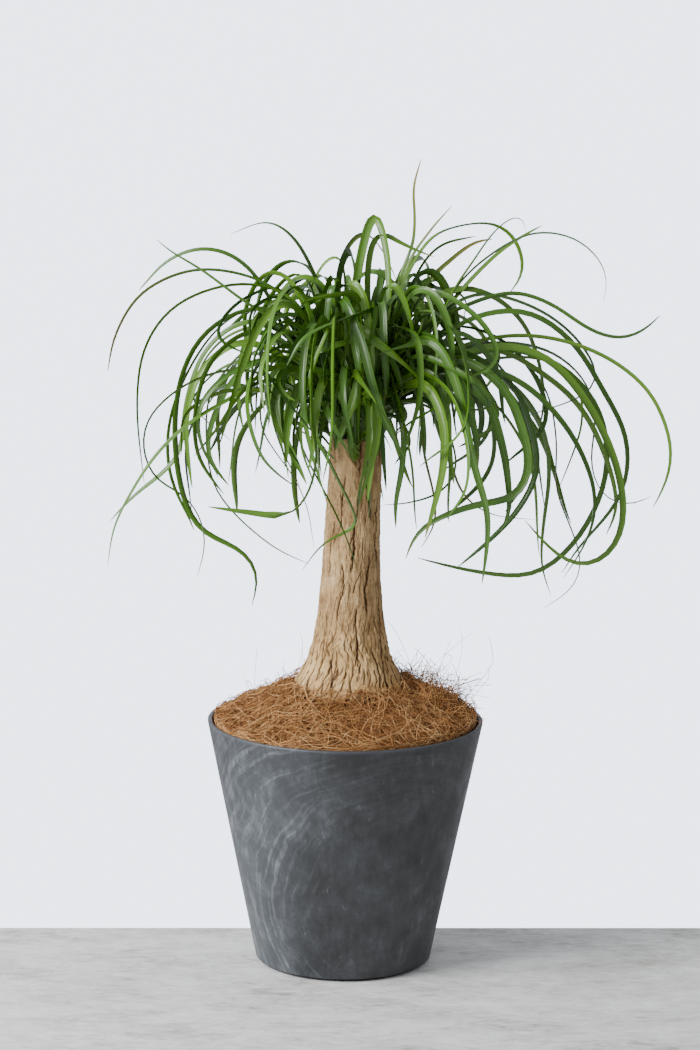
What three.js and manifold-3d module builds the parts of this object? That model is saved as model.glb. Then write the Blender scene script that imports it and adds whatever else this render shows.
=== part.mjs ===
// A ponytail palm in a tapered planter: a bare trunk, cut flat and sealed with wax, with five leafy
// shoots and one bud round its cut top, standing in soil under a mat of coir.
// Millimetres, +Z up. The origin is the middle of the planter's flat foot, on the floor.
import * as THREE from 'three';
import { mergeVertices } from 'three/addons/utils/BufferGeometryUtils.js';
import Module from 'manifold-3d';

const wasm = await Module();
wasm.setup();

// Planter
const RIM_RADIUS = 140;
const RIM_HEIGHT = 251;
const BASE_RADIUS = 88.8;
const FOOT_RADIUS = 84.5;
const FOOT_HEIGHT = 3;
const WALL = 5;
const FLOOR_THICKNESS = 8;
const POT_SIDES = 48;

// Fill
const GAP = 0.3;
const SOIL_TOP = 238;
const MULCH_EDGE = 251;
const MULCH_CROWN = 290;
const MULCH_SIDES = 44;
const MULCH_BANDS = 6;
const MULCH_INNER = 54;
const MULCH_SLACK = 0.6;
const TUFT_HEIGHT = 2.2;

// Trunk: radius against height, from the rounded foot of the caudex to the flat cut
const TRUNK_OUTLINE = [
  [0, 205], [34, 210], [56, 224], [66, 243], [68, 262], [63, 276], [52.6, 295.5], [41.8, 317],
  [34.9, 348], [30.3, 390], [28.2, 432], [26.6, 500], [26, 541],
];
const CUT_HEIGHT = 541;
const TRUNK_X = 4;
const TRUNK_LEAN = 5;
const LEAN_START = 350;
const BURIED_STATIONS = [210, 218, 230, 243, 256, 266, 276];
const BARK_FOOT = 285;
const BARK_ROWS = 23;
const OUTLINE_POINTS = 400;

// Cracks of the bark: each runs up the trunk between its two shoulders
const CRACKS = 13;
const CRACK_DEPTH = 1.8;
const CRACK_SHOULDER = 0.09;

// Wax seal on the cut
const SEAL_RADIUS = 24.5;
const SEAL_THICKNESS = 1.6;
const SEAL_SIDES = 24;

// Shoots: compass angle of each round the cut, in degrees from +X
const SHOOTS = [
  { name: 'shoot_right', angle: 5 },
  { name: 'shoot_back', angle: 77 },
  { name: 'shoot_back_left', angle: 149 },
  { name: 'shoot_front_left', angle: 216 },
  { name: 'shoot_front', angle: 300 },
];
const CROWN_X = 8.8;
const STEM_RADIUS = 7.2;
const STEM_SWELL = 1.6;
const STEM_PLAIN = 0.22;
const STEM_FOOT = { reach: 18, height: 531 };
const STEM_TIP = { reach: 30, height: 590 };
const STEM_SIDES = 10;
const SOCKET_DEPTH = 16;

// Bud on the front of the trunk, just under the cut
const BUD_FOOT = [7.5, -19, 521];
const BUD_TIP = [6.5, -35, 538];
const BUD_RADIUS = 4.4;

// Leaves
const FINE_STEPS = 44;
const STATION_SPACING = 42;
const FEWEST_STEPS = 5;
const MOST_STEPS = 10;
const LEAF_THICKNESS = 1.3;
const TIP_HALF_WIDTH = 0.3;
const CLEARANCE = 0.35;
const FILL_LEAVES = 92;
const FILL_START = 34;
const FILL_LOWEST = 565;

// Joining
const WELD = 1e-3;
const THICKER = 0.06;
const THICKEST = 1.9;
const SLIM_TOLERANCES = [0.3, 0.25, 0.2, 0.15, 0.1, 0.07, 0.05, 0.03, 0.02, 0.01, 0.005, 0.002];

// Leaves whose course is set by hand: width, turn about the midrib at the foot, further turn
// along the leaf, and the points that the midrib passes after it leaves its shoot.
const LEFT_LEAVES = [
  { width: 3.6, roll: 20, twist: 30, path: [
    [-45, 4, 655], [-85, 4, 694], [-150, 6, 706], [-205, 8, 683], [-233, 10, 640], [-241, 10, 602]] },
  { width: 4.2, roll: -20, twist: -30, path: [
    [-60, 12, 636], [-88, 18, 690], [-116, 24, 717], [-150, 30, 724], [-184, 36, 710], [-212, 40, 680]] },
  { width: 4.6, roll: 25, twist: 10, path: [
    [-66, -10, 648], [-108, -18, 680], [-145, -24, 708], [-176, -28, 727], [-190, -30, 739]] },
  { width: 4.6, roll: -30, twist: 30, path: [
    [-20, 14, 650], [-34, 20, 696], [-56, 28, 735], [-84, 36, 751], [-120, 42, 738]] },
  { width: 5.2, roll: 30, twist: -20, path: [
    [-46, -4, 668], [-100, -8, 694], [-165, -14, 677], [-201, -16, 634], [-210, -18, 572],
    [-203, -18, 493]] },
  { width: 6.2, roll: 30, twist: 30, path: [
    [-55, 2, 655], [-98, 4, 668], [-146, 4, 640], [-170, 2, 585], [-171, 0, 510], [-151, -4, 448],
    [-106, -8, 426], [-88, -12, 400], [-95, -14, 370]] },
  { width: 6, roll: -30, twist: -20, path: [
    [-58, 18, 640], [-104, 24, 652], [-144, 28, 622], [-163, 28, 570], [-169, 26, 520],
    [-187, 24, 497], [-216, 22, 474], [-240, 20, 448]] },
  { width: 6.2, roll: 40, twist: 20, path: [
    [-60, -14, 634], [-104, -20, 652], [-144, -26, 623], [-160, -28, 575], [-159, -30, 532],
    [-147, -32, 508], [-132, -34, 488]] },
  { width: 6, roll: -40, twist: -30, path: [
    [-62, -10, 618], [-108, -14, 636], [-147, -16, 606], [-161, -16, 560], [-159, -18, 520],
    [-155, -20, 490]] },
  { width: 5.4, roll: 30, twist: -40, path: [
    [-52, -24, 590], [-104, -32, 612], [-156, -38, 600], [-195, -42, 568], [-203, -46, 535],
    [-190, -50, 504], [-163, -54, 490], [-146, -56, 468], [-140, -58, 440], [-148, -60, 408]] },
  { width: 4.8, roll: -30, twist: 30, path: [
    [-74, -34, 604], [-125, -46, 584], [-163, -55, 563], [-193, -60, 536], [-216, -64, 504],
    [-238, -68, 462], [-245, -70, 422]] },
  { width: 7, roll: 40, twist: 10, path: [
    [-60, -36, 612], [-86, -56, 610], [-112, -74, 584], [-128, -86, 560], [-150, -100, 535]] },
  { width: 5, roll: -20, twist: -20, path: [
    [-50, 40, 622], [-96, 60, 625], [-138, 78, 578], [-146, 84, 545], [-141, 84, 484], [-120, 76, 451],
    [-76, 60, 416], [-38, 50, 400]] },
  { width: 8, roll: 50, twist: -60, path: [
    [-50, -20, 630], [-92, -30, 642], [-122, -36, 612], [-126, -38, 575], [-112, -38, 532],
    [-90, -36, 508], [-64, -32, 490]] },
  { width: 2.6, roll: 10, twist: 20, path: [
    [-54, -20, 622], [-92, -32, 632], [-110, -38, 600], [-112, -40, 560], [-92, -40, 528],
    [-70, -38, 500], [-54, -36, 465], [-46, -34, 425]] },
  { width: 7, roll: 60, twist: 20, path: [
    [-30, -50, 648], [-50, -76, 648], [-62, -92, 612], [-64, -96, 572], [-58, -92, 545], [-46, -84, 524]] },
  { width: 9, roll: 70, twist: 10, path: [
    [-20, -50, 652], [-30, -90, 668], [-36, -120, 626], [-35, -126, 580], [-30, -120, 540],
    [-38, -122, 504], [-56, -122, 482], [-92, -120, 484], [-135, -118, 489]] },
  { width: 8, roll: 80, twist: -10, path: [
    [-12, -54, 660], [-18, -96, 676], [-21, -130, 632], [-21, -138, 580], [-24, -134, 545],
    [-30, -124, 515]] },
  { width: 7.4, roll: 60, twist: -40, path: [
    [-14, -36, 655], [-14, -62, 691], [0, -100, 652], [8, -116, 615], [22, -124, 572], [42, -122, 535]] },
  { width: 6.4, roll: 60, twist: 30, path: [
    [-30, -44, 590], [-36, -56, 562], [-21, -69, 532], [-5, -70, 500], [10, -68, 466], [0, -66, 456],
    [-24, -66, 443], [-45, -66, 416]] },
  { width: 6, roll: 80, twist: 10, path: [
    [20, -34, 578], [20, -54, 560], [16, -62, 522], [11, -60, 488], [10, -58, 466]] },
  { width: 5.4, roll: 90, twist: -10, path: [
    [17, -40, 584], [20, -62, 566], [19, -70, 528], [22, -72, 490], [21, -70, 470]] },
  { width: 4, roll: 60, twist: 10, path: [
    [-38, -48, 592], [-46, -66, 565], [-34, -78, 534], [-12, -84, 496], [7, -86, 460], [23, -86, 418]] },
];

const TOP_LEAVES = [
  { width: 7, roll: 70, twist: 60, path: [
    [2, 6, 640], [8, 6, 705], [23, 0, 765], [36, -16, 730], [39, -26, 690], [38, -34, 645],
    [34, -44, 600]] },
  { width: 9, roll: 80, twist: -20, path: [
    [-12, -4, 660], [-12, -2, 700], [-3, 6, 728], [4, 24, 712], [6, 40, 680], [4, 56, 640]] },
  { width: 5.4, roll: -40, twist: 40, path: [
    [-4, 16, 660], [-8, 20, 715], [-22, 24, 719], [-38, 28, 696], [-47, 34, 662]] },
  { width: 6.4, roll: 40, twist: -50, path: [
    [24, -8, 640], [20, -8, 700], [24, -8, 738], [34, -10, 753], [50, -14, 745], [68, -18, 736],
    [88, -22, 728]] },
  { width: 3.6, roll: 30, twist: 30, path: [
    [-10, 24, 660], [-4, 30, 715], [10, 34, 741], [27, 38, 750], [42, 42, 742], [58, 46, 722],
    [74, 50, 692]] },
  { width: 6, roll: 50, twist: -20, path: [
    [-2, 8, 640], [0, 2, 690], [12, -4, 708], [24, -10, 711], [38, -18, 700], [48, -26, 672],
    [52, -34, 640]] },
  { width: 6.6, roll: -40, twist: 20, path: [
    [-15, 10, 640], [-24, 14, 685], [-44, 18, 699], [-60, 22, 692], [-74, 26, 672], [-82, 30, 640],
    [-84, 32, 600]] },
  { width: 8.4, roll: 50, twist: -30, path: [
    [-45, -20, 640], [-32, -26, 672], [-10, -32, 696], [4, -38, 700], [14, -46, 680], [20, -56, 640],
    [22, -66, 600]] },
  { width: 3.6, roll: 10, twist: 20, path: [
    [44, 4, 640], [50, 4, 700], [63, 4, 736], [65, 4, 765], [63, 2, 795], [70, 0, 824]] },
  { width: 3.4, roll: 10, twist: -20, path: [[46, 14, 640], [56, 18, 706], [78, 22, 743], [101, 26, 770]] },
  { width: 6, roll: -40, twist: 40, path: [
    [44, 24, 640], [54, 34, 690], [80, 44, 735], [110, 52, 748], [142, 56, 750], [164, 58, 736],
    [174, 60, 712], [172, 60, 694], [160, 60, 678]] },
  { width: 5.4, roll: -30, twist: -20, path: [
    [50, 18, 650], [62, 24, 705], [86, 30, 738], [124, 36, 750]] },
  { width: 3.6, roll: 20, twist: 30, path: [
    [62, 30, 640], [78, 36, 690], [102, 42, 715], [124, 46, 731], [143, 50, 735]] },
  { width: 4.8, roll: 30, twist: -30, path: [
    [72, -4, 620], [102, -6, 687], [120, -8, 716], [140, -10, 746], [158, -10, 762], [170, -12, 763],
    [173, -12, 750]] },
  { width: 5.4, roll: -20, twist: 30, path: [
    [66, 4, 620], [98, 6, 680], [128, 8, 715], [176, 12, 744], [218, 14, 742], [246, 16, 722],
    [257, 18, 698], [253, 18, 676]] },
  { width: 4, roll: 20, twist: 20, path: [
    [72, 10, 630], [108, 14, 680], [146, 18, 720], [175, 20, 741], [197, 22, 753]] },
  { width: 4.8, roll: -30, twist: -30, path: [
    [62, -10, 640], [108, -14, 672], [160, -16, 690], [200, -18, 680], [240, -20, 655],
    [270, -22, 647], [294, -24, 656], [309, -24, 671]] },
  { width: 6.6, roll: 30, twist: 20, path: [
    [58, 14, 640], [94, 20, 684], [136, 26, 683], [172, 32, 655], [190, 36, 615], [197, 38, 570],
    [190, 38, 535]] },
  { width: 6.4, roll: -40, twist: -20, path: [
    [40, 26, 640], [66, 38, 690], [96, 46, 692], [122, 52, 662], [138, 56, 625], [146, 58, 580],
    [146, 60, 545]] },
  { width: 6, roll: 50, twist: 30, path: [
    [48, 34, 640], [66, 50, 684], [84, 60, 674], [96, 66, 645], [100, 70, 600], [100, 72, 560]] },
];

const RIGHT_LEAVES = [
  { width: 6.2, roll: 30, twist: 20, path: [
    [66, 0, 620], [120, 0, 660], [176, -2, 668], [222, -4, 638], [252, -6, 592], [277, -8, 545],
    [277, -8, 495], [258, -8, 462], [232, -8, 432], [216, -8, 405]] },
  { width: 5.4, roll: -30, twist: -20, path: [
    [70, -6, 612], [130, -10, 640], [190, -14, 645], [250, -18, 628], [296, -20, 594], [318, -22, 550],
    [321, -22, 518], [314, -22, 494], [305, -22, 476]] },
  { width: 6.4, roll: 40, twist: 30, path: [
    [70, -14, 604], [136, -24, 636], [192, -32, 628], [232, -38, 588], [262, -42, 532],
    [274, -44, 478], [266, -46, 440], [238, -48, 420], [208, -48, 432], [176, -48, 466]] },
  { width: 5.8, roll: -40, twist: -20, path: [
    [72, 8, 600], [140, 12, 628], [196, 16, 602], [236, 18, 565], [262, 20, 512], [272, 20, 468],
    [262, 20, 440]] },
  { width: 6.8, roll: 40, twist: -30, path: [
    [68, -24, 600], [120, -38, 618], [172, -50, 602], [215, -58, 560], [240, -62, 510],
    [243, -62, 470], [230, -62, 436], [214, -60, 410]] },
  { width: 6, roll: -30, twist: 20, path: [
    [66, 20, 600], [116, 34, 612], [168, 44, 588], [200, 50, 545], [209, 52, 495], [204, 52, 440],
    [203, 52, 398], [214, 52, 366]] },
  { width: 6.8, roll: 60, twist: 30, path: [
    [58, -30, 610], [108, -54, 628], [150, -74, 604], [168, -84, 568], [177, -88, 528],
    [164, -88, 497], [125, -86, 488], [86, -82, 472], [66, -80, 455], [58, -78, 432]] },
  { width: 6, roll: -50, twist: -30, path: [
    [60, -22, 618], [110, -38, 632], [158, -52, 600], [178, -58, 556], [184, -60, 515],
    [168, -60, 478], [140, -60, 446], [105, -60, 416]] },
  { width: 5.6, roll: 40, twist: 40, path: [
    [70, 12, 596], [140, 20, 628], [206, 26, 614], [250, 28, 570], [262, 28, 515], [252, 28, 468],
    [226, 28, 424], [190, 28, 396], [150, 28, 396], [108, 28, 403], [72, 28, 412]] },
  { width: 5.6, roll: -30, twist: 20, path: [
    [66, -2, 592], [128, -4, 618], [190, -6, 622], [226, -8, 600], [233, -8, 560], [224, -8, 526],
    [210, -8, 488]] },
  { width: 4.8, roll: 30, twist: -20, path: [
    [74, 26, 612], [140, 44, 630], [200, 58, 622], [240, 66, 590], [252, 70, 550], [248, 70, 505],
    [262, 72, 470], [290, 74, 460], [311, 74, 470]] },
  { width: 6.6, roll: 70, twist: -50, path: [
    [62, -8, 600], [96, -12, 612], [118, -16, 590], [126, -18, 566], [119, -20, 552], [106, -22, 548]] },
  { width: 7, roll: 50, twist: 20, path: [
    [58, -34, 600], [100, -58, 606], [132, -76, 590], [148, -86, 548], [155, -90, 508],
    [156, -90, 478], [148, -88, 460]] },
  { width: 7.2, roll: 70, twist: 10, path: [
    [44, -46, 630], [74, -82, 650], [95, -104, 610], [104, -114, 566], [114, -118, 522],
    [126, -120, 482], [126, -120, 444], [122, -118, 408]] },
  { width: 8, roll: 80, twist: -10, path: [
    [36, -48, 640], [58, -88, 655], [78, -112, 612], [88, -124, 570], [93, -128, 534], [93, -128, 512]] },
  { width: 9, roll: 85, twist: 10, path: [
    [32, -50, 618], [50, -84, 622], [62, -104, 590], [66, -110, 560], [66, -110, 548]] },
  { width: 8, roll: 60, twist: -20, path: [
    [50, -36, 606], [80, -60, 612], [95, -74, 580], [98, -80, 545], [104, -82, 508]] },
  { width: 7.6, roll: 50, twist: 30, path: [
    [54, -30, 596], [96, -50, 606], [122, -64, 572], [126, -70, 528], [118, -70, 490], [106, -70, 448]] },
  { width: 6, roll: -30, twist: 30, path: [
    [48, -24, 580], [84, -34, 574], [104, -40, 540], [106, -42, 512], [90, -44, 492], [60, -46, 482],
    [36, -46, 480]] },
  { width: 5.4, roll: 60, twist: 20, path: [
    [40, -36, 584], [54, -54, 560], [54, -62, 524], [48, -64, 486], [48, -64, 460]] },
  { width: 2.8, roll: 20, twist: 20, path: [
    [70, 20, 600], [150, 34, 624], [200, 44, 590], [216, 48, 530], [216, 50, 480], [232, 52, 440],
    [245, 54, 402], [237, 56, 373], [206, 58, 351]] },
  { width: 3, roll: -20, twist: 20, path: [
    [50, 40, 640], [72, 60, 640], [74, 70, 580], [76, 72, 520], [88, 74, 470], [90, 74, 440],
    [76, 74, 414]] },
  { width: 3, roll: 20, twist: -20, path: [
    [60, 40, 610], [96, 60, 610], [110, 70, 560], [112, 72, 510], [128, 72, 466], [160, 72, 445],
    [204, 72, 440]] },
];

// Short leaves of the bud, in the same form
const BUD_LEAVES = [
  { width: 5.0, roll: 60, twist: 10, path: [[4, -46, 552], [-2, -58, 556], [-10, -66, 544]] },
  { width: 5.4, roll: 70, twist: -20, path: [[12, -46, 550], [20, -56, 554], [27, -62, 544]] },
  { width: 4.6, roll: 20, twist: 30, path: [[8, -40, 558], [8, -45, 575], [10, -53, 588]] },
  { width: 4.8, roll: -20, twist: 20, path: [[-2, -38, 556], [-7, -44, 568], [-13, -54, 574]] },
];

const radians = THREE.MathUtils.degToRad;
const lerp = THREE.MathUtils.lerp;
const clamp = THREE.MathUtils.clamp;
const vector = (x, y, z) => new THREE.Vector3(x, y, z);

// --- solids ---

function solidFrom(points, triangles) {
  const vertProperties = Float32Array.from(points.flatMap((p) => [p.x, p.y, p.z]));
  return new wasm.Manifold(new wasm.Mesh({
    numProp: 3, vertProperties, triVerts: Uint32Array.from(triangles),
  }));
}

function weld(geometry) {
  geometry.deleteAttribute('normal');
  geometry.deleteAttribute('uv');
  return mergeVertices(geometry, WELD);
}

function solidOf(geometry) {
  const welded = weld(geometry);
  return new wasm.Manifold(new wasm.Mesh({
    numProp: 3,
    vertProperties: new Float32Array(welded.attributes.position.array),
    triVerts: Uint32Array.from(welded.index.array),
  }));
}

function geometryOf(solid) {
  const { vertProperties, triVerts } = solid.getMesh();
  const geometry = new THREE.BufferGeometry();
  geometry.setAttribute('position', new THREE.BufferAttribute(new Float32Array(vertProperties), 3));
  geometry.setIndex(new THREE.BufferAttribute(new Uint32Array(triVerts), 1));
  return geometry;
}

function meshOf(name, solid, material) {
  const geometry = geometryOf(solid);
  geometry.computeVertexNormals();
  const mesh = new THREE.Mesh(geometry, material);
  mesh.name = name;
  return mesh;
}

// A lathe stood on a point and leaning along a direction, from [radius, distance] pairs
function leaningSolid(from, direction, outline, sides) {
  const geometry = new THREE.LatheGeometry(outline.map(([r, d]) => new THREE.Vector2(r, d)), sides);
  geometry.applyQuaternion(new THREE.Quaternion().setFromUnitVectors(vector(0, 1, 0), direction));
  geometry.translate(...from.toArray());
  return solidOf(geometry);
}

// Edges where two sheets of one body only touch carry four triangles, not two
function isPinched(solid) {
  const { index } = weld(geometryOf(solid));
  const uses = new Map();
  for (let i = 0; i < index.count; i += 3) {
    const [a, b, c] = [index.getX(i), index.getX(i + 1), index.getX(i + 2)];
    if (a === b || b === c || c === a) continue;
    for (const ends of [[a, b], [b, c], [c, a]]) {
      const edge = ends.sort((one, other) => one - other).join();
      uses.set(edge, (uses.get(edge) ?? 0) + 1);
    }
  }
  return [...uses.values()].some((count) => count !== 2);
}

// A solid as one body with its vertices welded, without the scraps that a join can shed
function oneBody(solid) {
  const bodies = solidOf(geometryOf(solid)).decompose();
  return bodies.reduce((a, b) => (a.volume() > b.volume() ? a : b));
}

// A lathe about Z from [radius, height] pairs that start and end on the axis, lowest first
function latheSolid(outline, sides) {
  const geometry = new THREE.LatheGeometry(outline.map(([r, z]) => new THREE.Vector2(r, z)), sides);
  geometry.rotateX(Math.PI / 2);
  return solidOf(geometry);
}

// Closed rows of points, one above the other, with a pole at each end
function stackSolid(rows, bottom, top) {
  const sides = rows[0].length;
  const points = [bottom, ...rows.flat(), top];
  const triangles = [];
  const at = (row, side) => 1 + row * sides + (side % sides);
  for (let side = 0; side < sides; side += 1) {
    triangles.push(0, at(0, side + 1), at(0, side));
    triangles.push(points.length - 1, at(rows.length - 1, side), at(rows.length - 1, side + 1));
    for (let row = 0; row + 1 < rows.length; row += 1) {
      const [a, b, c, d] = [at(row, side), at(row, side + 1), at(row + 1, side + 1), at(row + 1, side)];
      triangles.push(a, b, c, a, c, d);
    }
  }
  return solidFrom(points, triangles);
}

// --- planter, soil and mulch ---

const wallRadius = (z) => lerp(BASE_RADIUS, RIM_RADIUS, z / RIM_HEIGHT);
const innerRadius = (z) => wallRadius(z) - WALL;

function potSolid() {
  const lip = RIM_HEIGHT - 3;
  return latheSolid([
    [0, 0], [FOOT_RADIUS, 0], [FOOT_RADIUS, FOOT_HEIGHT], [wallRadius(FOOT_HEIGHT + 1), FOOT_HEIGHT + 1],
    [wallRadius(lip), lip], [RIM_RADIUS, RIM_HEIGHT - 1.5], [RIM_RADIUS - 1.5, RIM_HEIGHT],
    [RIM_RADIUS - WALL + 1, RIM_HEIGHT], [innerRadius(lip), lip],
    [innerRadius(FLOOR_THICKNESS), FLOOR_THICKNESS], [0, FLOOR_THICKNESS],
  ], POT_SIDES);
}

const trunkX = (z) => TRUNK_X + TRUNK_LEAN * (Math.max(z - LEAN_START, 0) / (CUT_HEIGHT - LEAN_START)) ** 2;
const outline = new THREE.SplineCurve(TRUNK_OUTLINE.map(([r, z]) => new THREE.Vector2(r, z)))
  .getPoints(OUTLINE_POINTS);

function trunkRadius(z) {
  const above = Math.max(outline.findIndex((p) => p.y >= z), 1);
  const [low, high] = [outline[above - 1], outline[above]];
  return lerp(low.x, high.x, (z - low.y) / (high.y - low.y));
}

// Heights of the trunk's rings, from its buried foot to the cut
const stations = [
  ...BURIED_STATIONS,
  ...Array.from({ length: BARK_ROWS + 1 }, (_, i) => lerp(BARK_FOOT, CUT_HEIGHT, i / BARK_ROWS)),
];

// Crack k wavers round its own bearing, opens and closes as it climbs, and thins towards the cut
const bareness = (z) => clamp((z - BARK_FOOT) / 20, 0, 1);
const crackBearing = (k, z) => ((2 * Math.PI) / CRACKS) * (k
  + bareness(z) * (0.18 * Math.sin(z / 23 + 2.4 * k) + 0.08 * Math.sin(z / 8 + 1.7 * k)));
const crackDepth = (k, z) => CRACK_DEPTH * bareness(z) * lerp(1, 0.5, clamp((z - 420) / 100, 0, 1))
  * clamp(0.55 + 0.9 * Math.sin(z / 15 + 2.9 * k), 0, 1);

// A ring of the trunk, with a point at every crack and at both its shoulders
function trunkRing(z, spread, cracked) {
  return Array.from({ length: CRACKS }, (_, k) => [-1, 0, 1].map((side) => {
    const bearing = crackBearing(k, z) + side * CRACK_SHOULDER;
    const radius = trunkRadius(z) + spread - (cracked && side === 0 ? crackDepth(k, z) : 0);
    return vector(trunkX(z) + radius * Math.cos(bearing), radius * Math.sin(bearing), z);
  })).flat();
}

// The trunk without its cracks, swollen by a gap: what the soil and the mulch leave free
function trunkEnvelope(gap, top) {
  const rows = [...stations.filter((z) => z < top), top].map((z) => trunkRing(z, gap, false));
  return stackSolid(rows, vector(TRUNK_X, 0, outline[0].y - gap), vector(TRUNK_X, 0, top));
}

function soilSolid() {
  const floor = FLOOR_THICKNESS + GAP;
  const body = latheSolid([
    [0, floor], [innerRadius(floor) - GAP, floor], [innerRadius(SOIL_TOP) - GAP, SOIL_TOP], [0, SOIL_TOP],
  ], POT_SIDES);
  return body.subtract(trunkEnvelope(GAP, SOIL_TOP + 10));
}

// Top of the coir mat: rises from the rim to the trunk, tufted by three crossing waves
function mulchTop(share, angle) {
  const tuft = Math.sin(9 * angle + 5 * share) * Math.sin(17 * share + 4 * angle)
    + 0.6 * Math.sin(23 * angle - 11 * share);
  const backRight = 0.5 + 0.5 * Math.cos(angle - radians(40));
  return lerp(MULCH_CROWN - 3 * (1 - backRight), MULCH_EDGE - 3, share ** 0.8) + TUFT_HEIGHT * tuft;
}

function mulchSolid() {
  const bottom = SOIL_TOP + GAP;
  const ring = (share, height) => Array.from({ length: MULCH_SIDES }, (_, side) => {
    const angle = (2 * Math.PI * side) / MULCH_SIDES;
    const z = height(angle);
    const radius = lerp(MULCH_INNER, innerRadius(Math.min(z, RIM_HEIGHT - 3)) - MULCH_SLACK, share);
    return vector(TRUNK_X * (1 - share) + radius * Math.cos(angle), radius * Math.sin(angle), z);
  });
  const rows = [ring(1, () => bottom)];
  for (let band = 0; band <= MULCH_BANDS; band += 1) {
    const share = 1 - band / MULCH_BANDS;
    rows.push(ring(share, (angle) => mulchTop(share, angle)));
  }
  return stackSolid(rows, vector(0, 0, bottom), vector(TRUNK_X, 0, MULCH_CROWN))
    .subtract(trunkEnvelope(GAP, MULCH_CROWN + 30));
}

// --- trunk and wax ---

const shootPoint = ({ reach, height }, angle) => vector(
  CROWN_X + reach * Math.cos(radians(angle)), reach * Math.sin(radians(angle)), height);
const stems = [
  ...SHOOTS.map(({ name, angle }) => ({
    name,
    foot: shootPoint(STEM_FOOT, angle),
    tip: shootPoint(STEM_TIP, angle),
    radius: STEM_RADIUS,
    swell: STEM_SWELL,
  })),
  { name: 'shoot_bud', foot: vector(...BUD_FOOT), tip: vector(...BUD_TIP), radius: BUD_RADIUS, swell: 1 },
];
const directionOf = ({ foot, tip }) => tip.clone().sub(foot).normalize();

// A stem: a plain round foot, swollen above it by the leaf bases that wrap it, closed at the tip
function stemSolid(stem) {
  const { foot, tip, radius, swell } = stem;
  const length = foot.distanceTo(tip);
  return leaningSolid(foot, directionOf(stem), [
    [0, 0], [radius, 0], [radius, STEM_PLAIN * length], [radius * swell, 0.55 * length],
    [radius * lerp(1, swell, 0.8), 0.9 * length], [radius * 0.6, 1.1 * length], [0, 1.15 * length],
  ], STEM_SIDES);
}

// The plain holes that the stems stand in
const sockets = wasm.Manifold.union(stems.map((stem) => leaningSolid(
  stem.foot.clone().addScaledVector(directionOf(stem), -GAP), directionOf(stem),
  [[0, 0], [stem.radius + GAP, 0], [stem.radius + GAP, SOCKET_DEPTH], [0, SOCKET_DEPTH]], STEM_SIDES)));

function trunkSolid() {
  const rows = stations.map((z) => trunkRing(z, 0, true));
  return stackSolid(rows, vector(TRUNK_X, 0, outline[0].y), vector(CROWN_X, 0, CUT_HEIGHT))
    .subtract(sockets);
}

function sealSolid() {
  const base = CUT_HEIGHT + GAP;
  return latheSolid([
    [0, base], [SEAL_RADIUS - 1, base], [SEAL_RADIUS, base + 0.6], [SEAL_RADIUS - 3, base + SEAL_THICKNESS],
    [0, base + SEAL_THICKNESS],
  ], SEAL_SIDES).translate([CROWN_X, 0, 0]).subtract(sockets);
}

// --- leaves ---

// A draw between 0 and 1 for leaf k: steps of a fixed irrational share, one for each use
const SHARES = [0.8191725134, 0.6710436067, 0.5497004779, 0.4503045553, 0.3688747780, 0.3021704617];
const draw = (k, use) => (0.5 + (k + 1) * SHARES[use]) % 1;
const GOLDEN_TURN = 0.6180339887;

// Fill leaves, turned round the crown by the golden angle: the young ones rise steeply and hang
// close, the old ones reach out, and those at the front stay short so that the trunk shows
function fillLeaf(k) {
  const angle = 2 * Math.PI * ((0.13 + k * GOLDEN_TURN) % 1);
  const front = Math.max(0, -Math.sin(angle)) ** 2;
  const back = Math.max(0, Math.sin(angle));
  const [young, far, low, sway, roll, broad] = SHARES.map((_, use) => draw(k, use));
  const top = 578 + 140 * young ** 1.2;
  const reach = (70 + 165 * far) * (1 - 0.35 * young) * (1 - 0.25 * front + 0.35 * back);
  const drop = 40 + 150 * low * (0.4 + 0.6 * far) * (1 - 0.35 * front);
  const at = (out, height, share) => {
    const heading = angle + radians(70 * (sway - 0.5)) * share * share;
    const radius = lerp(FILL_START, reach, out);
    return [CROWN_X + radius * Math.cos(heading), radius * Math.sin(heading), height];
  };
  return {
    width: 4.6 + 3.4 * broad,
    roll: 110 * (roll - 0.5),
    twist: 90 * (sway - 0.5),
    path: [
      at(0.1, lerp(FILL_LOWEST, top, 0.55), 0.2), at(0.34, lerp(FILL_LOWEST, top, 0.93), 0.4),
      at(0.62, top - 0.02 * drop, 0.6), at(0.88, top - 0.4 * drop, 0.8),
      at(1, Math.max(top - drop, 430), 1),
    ],
  };
}

function nearestShoot([x, y]) {
  const bearing = THREE.MathUtils.radToDeg(Math.atan2(y, x - CROWN_X));
  const offs = SHOOTS.map(({ angle }) => Math.abs((((bearing - angle + 180) % 360) + 360) % 360 - 180));
  return offs.indexOf(Math.min(...offs));
}

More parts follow.
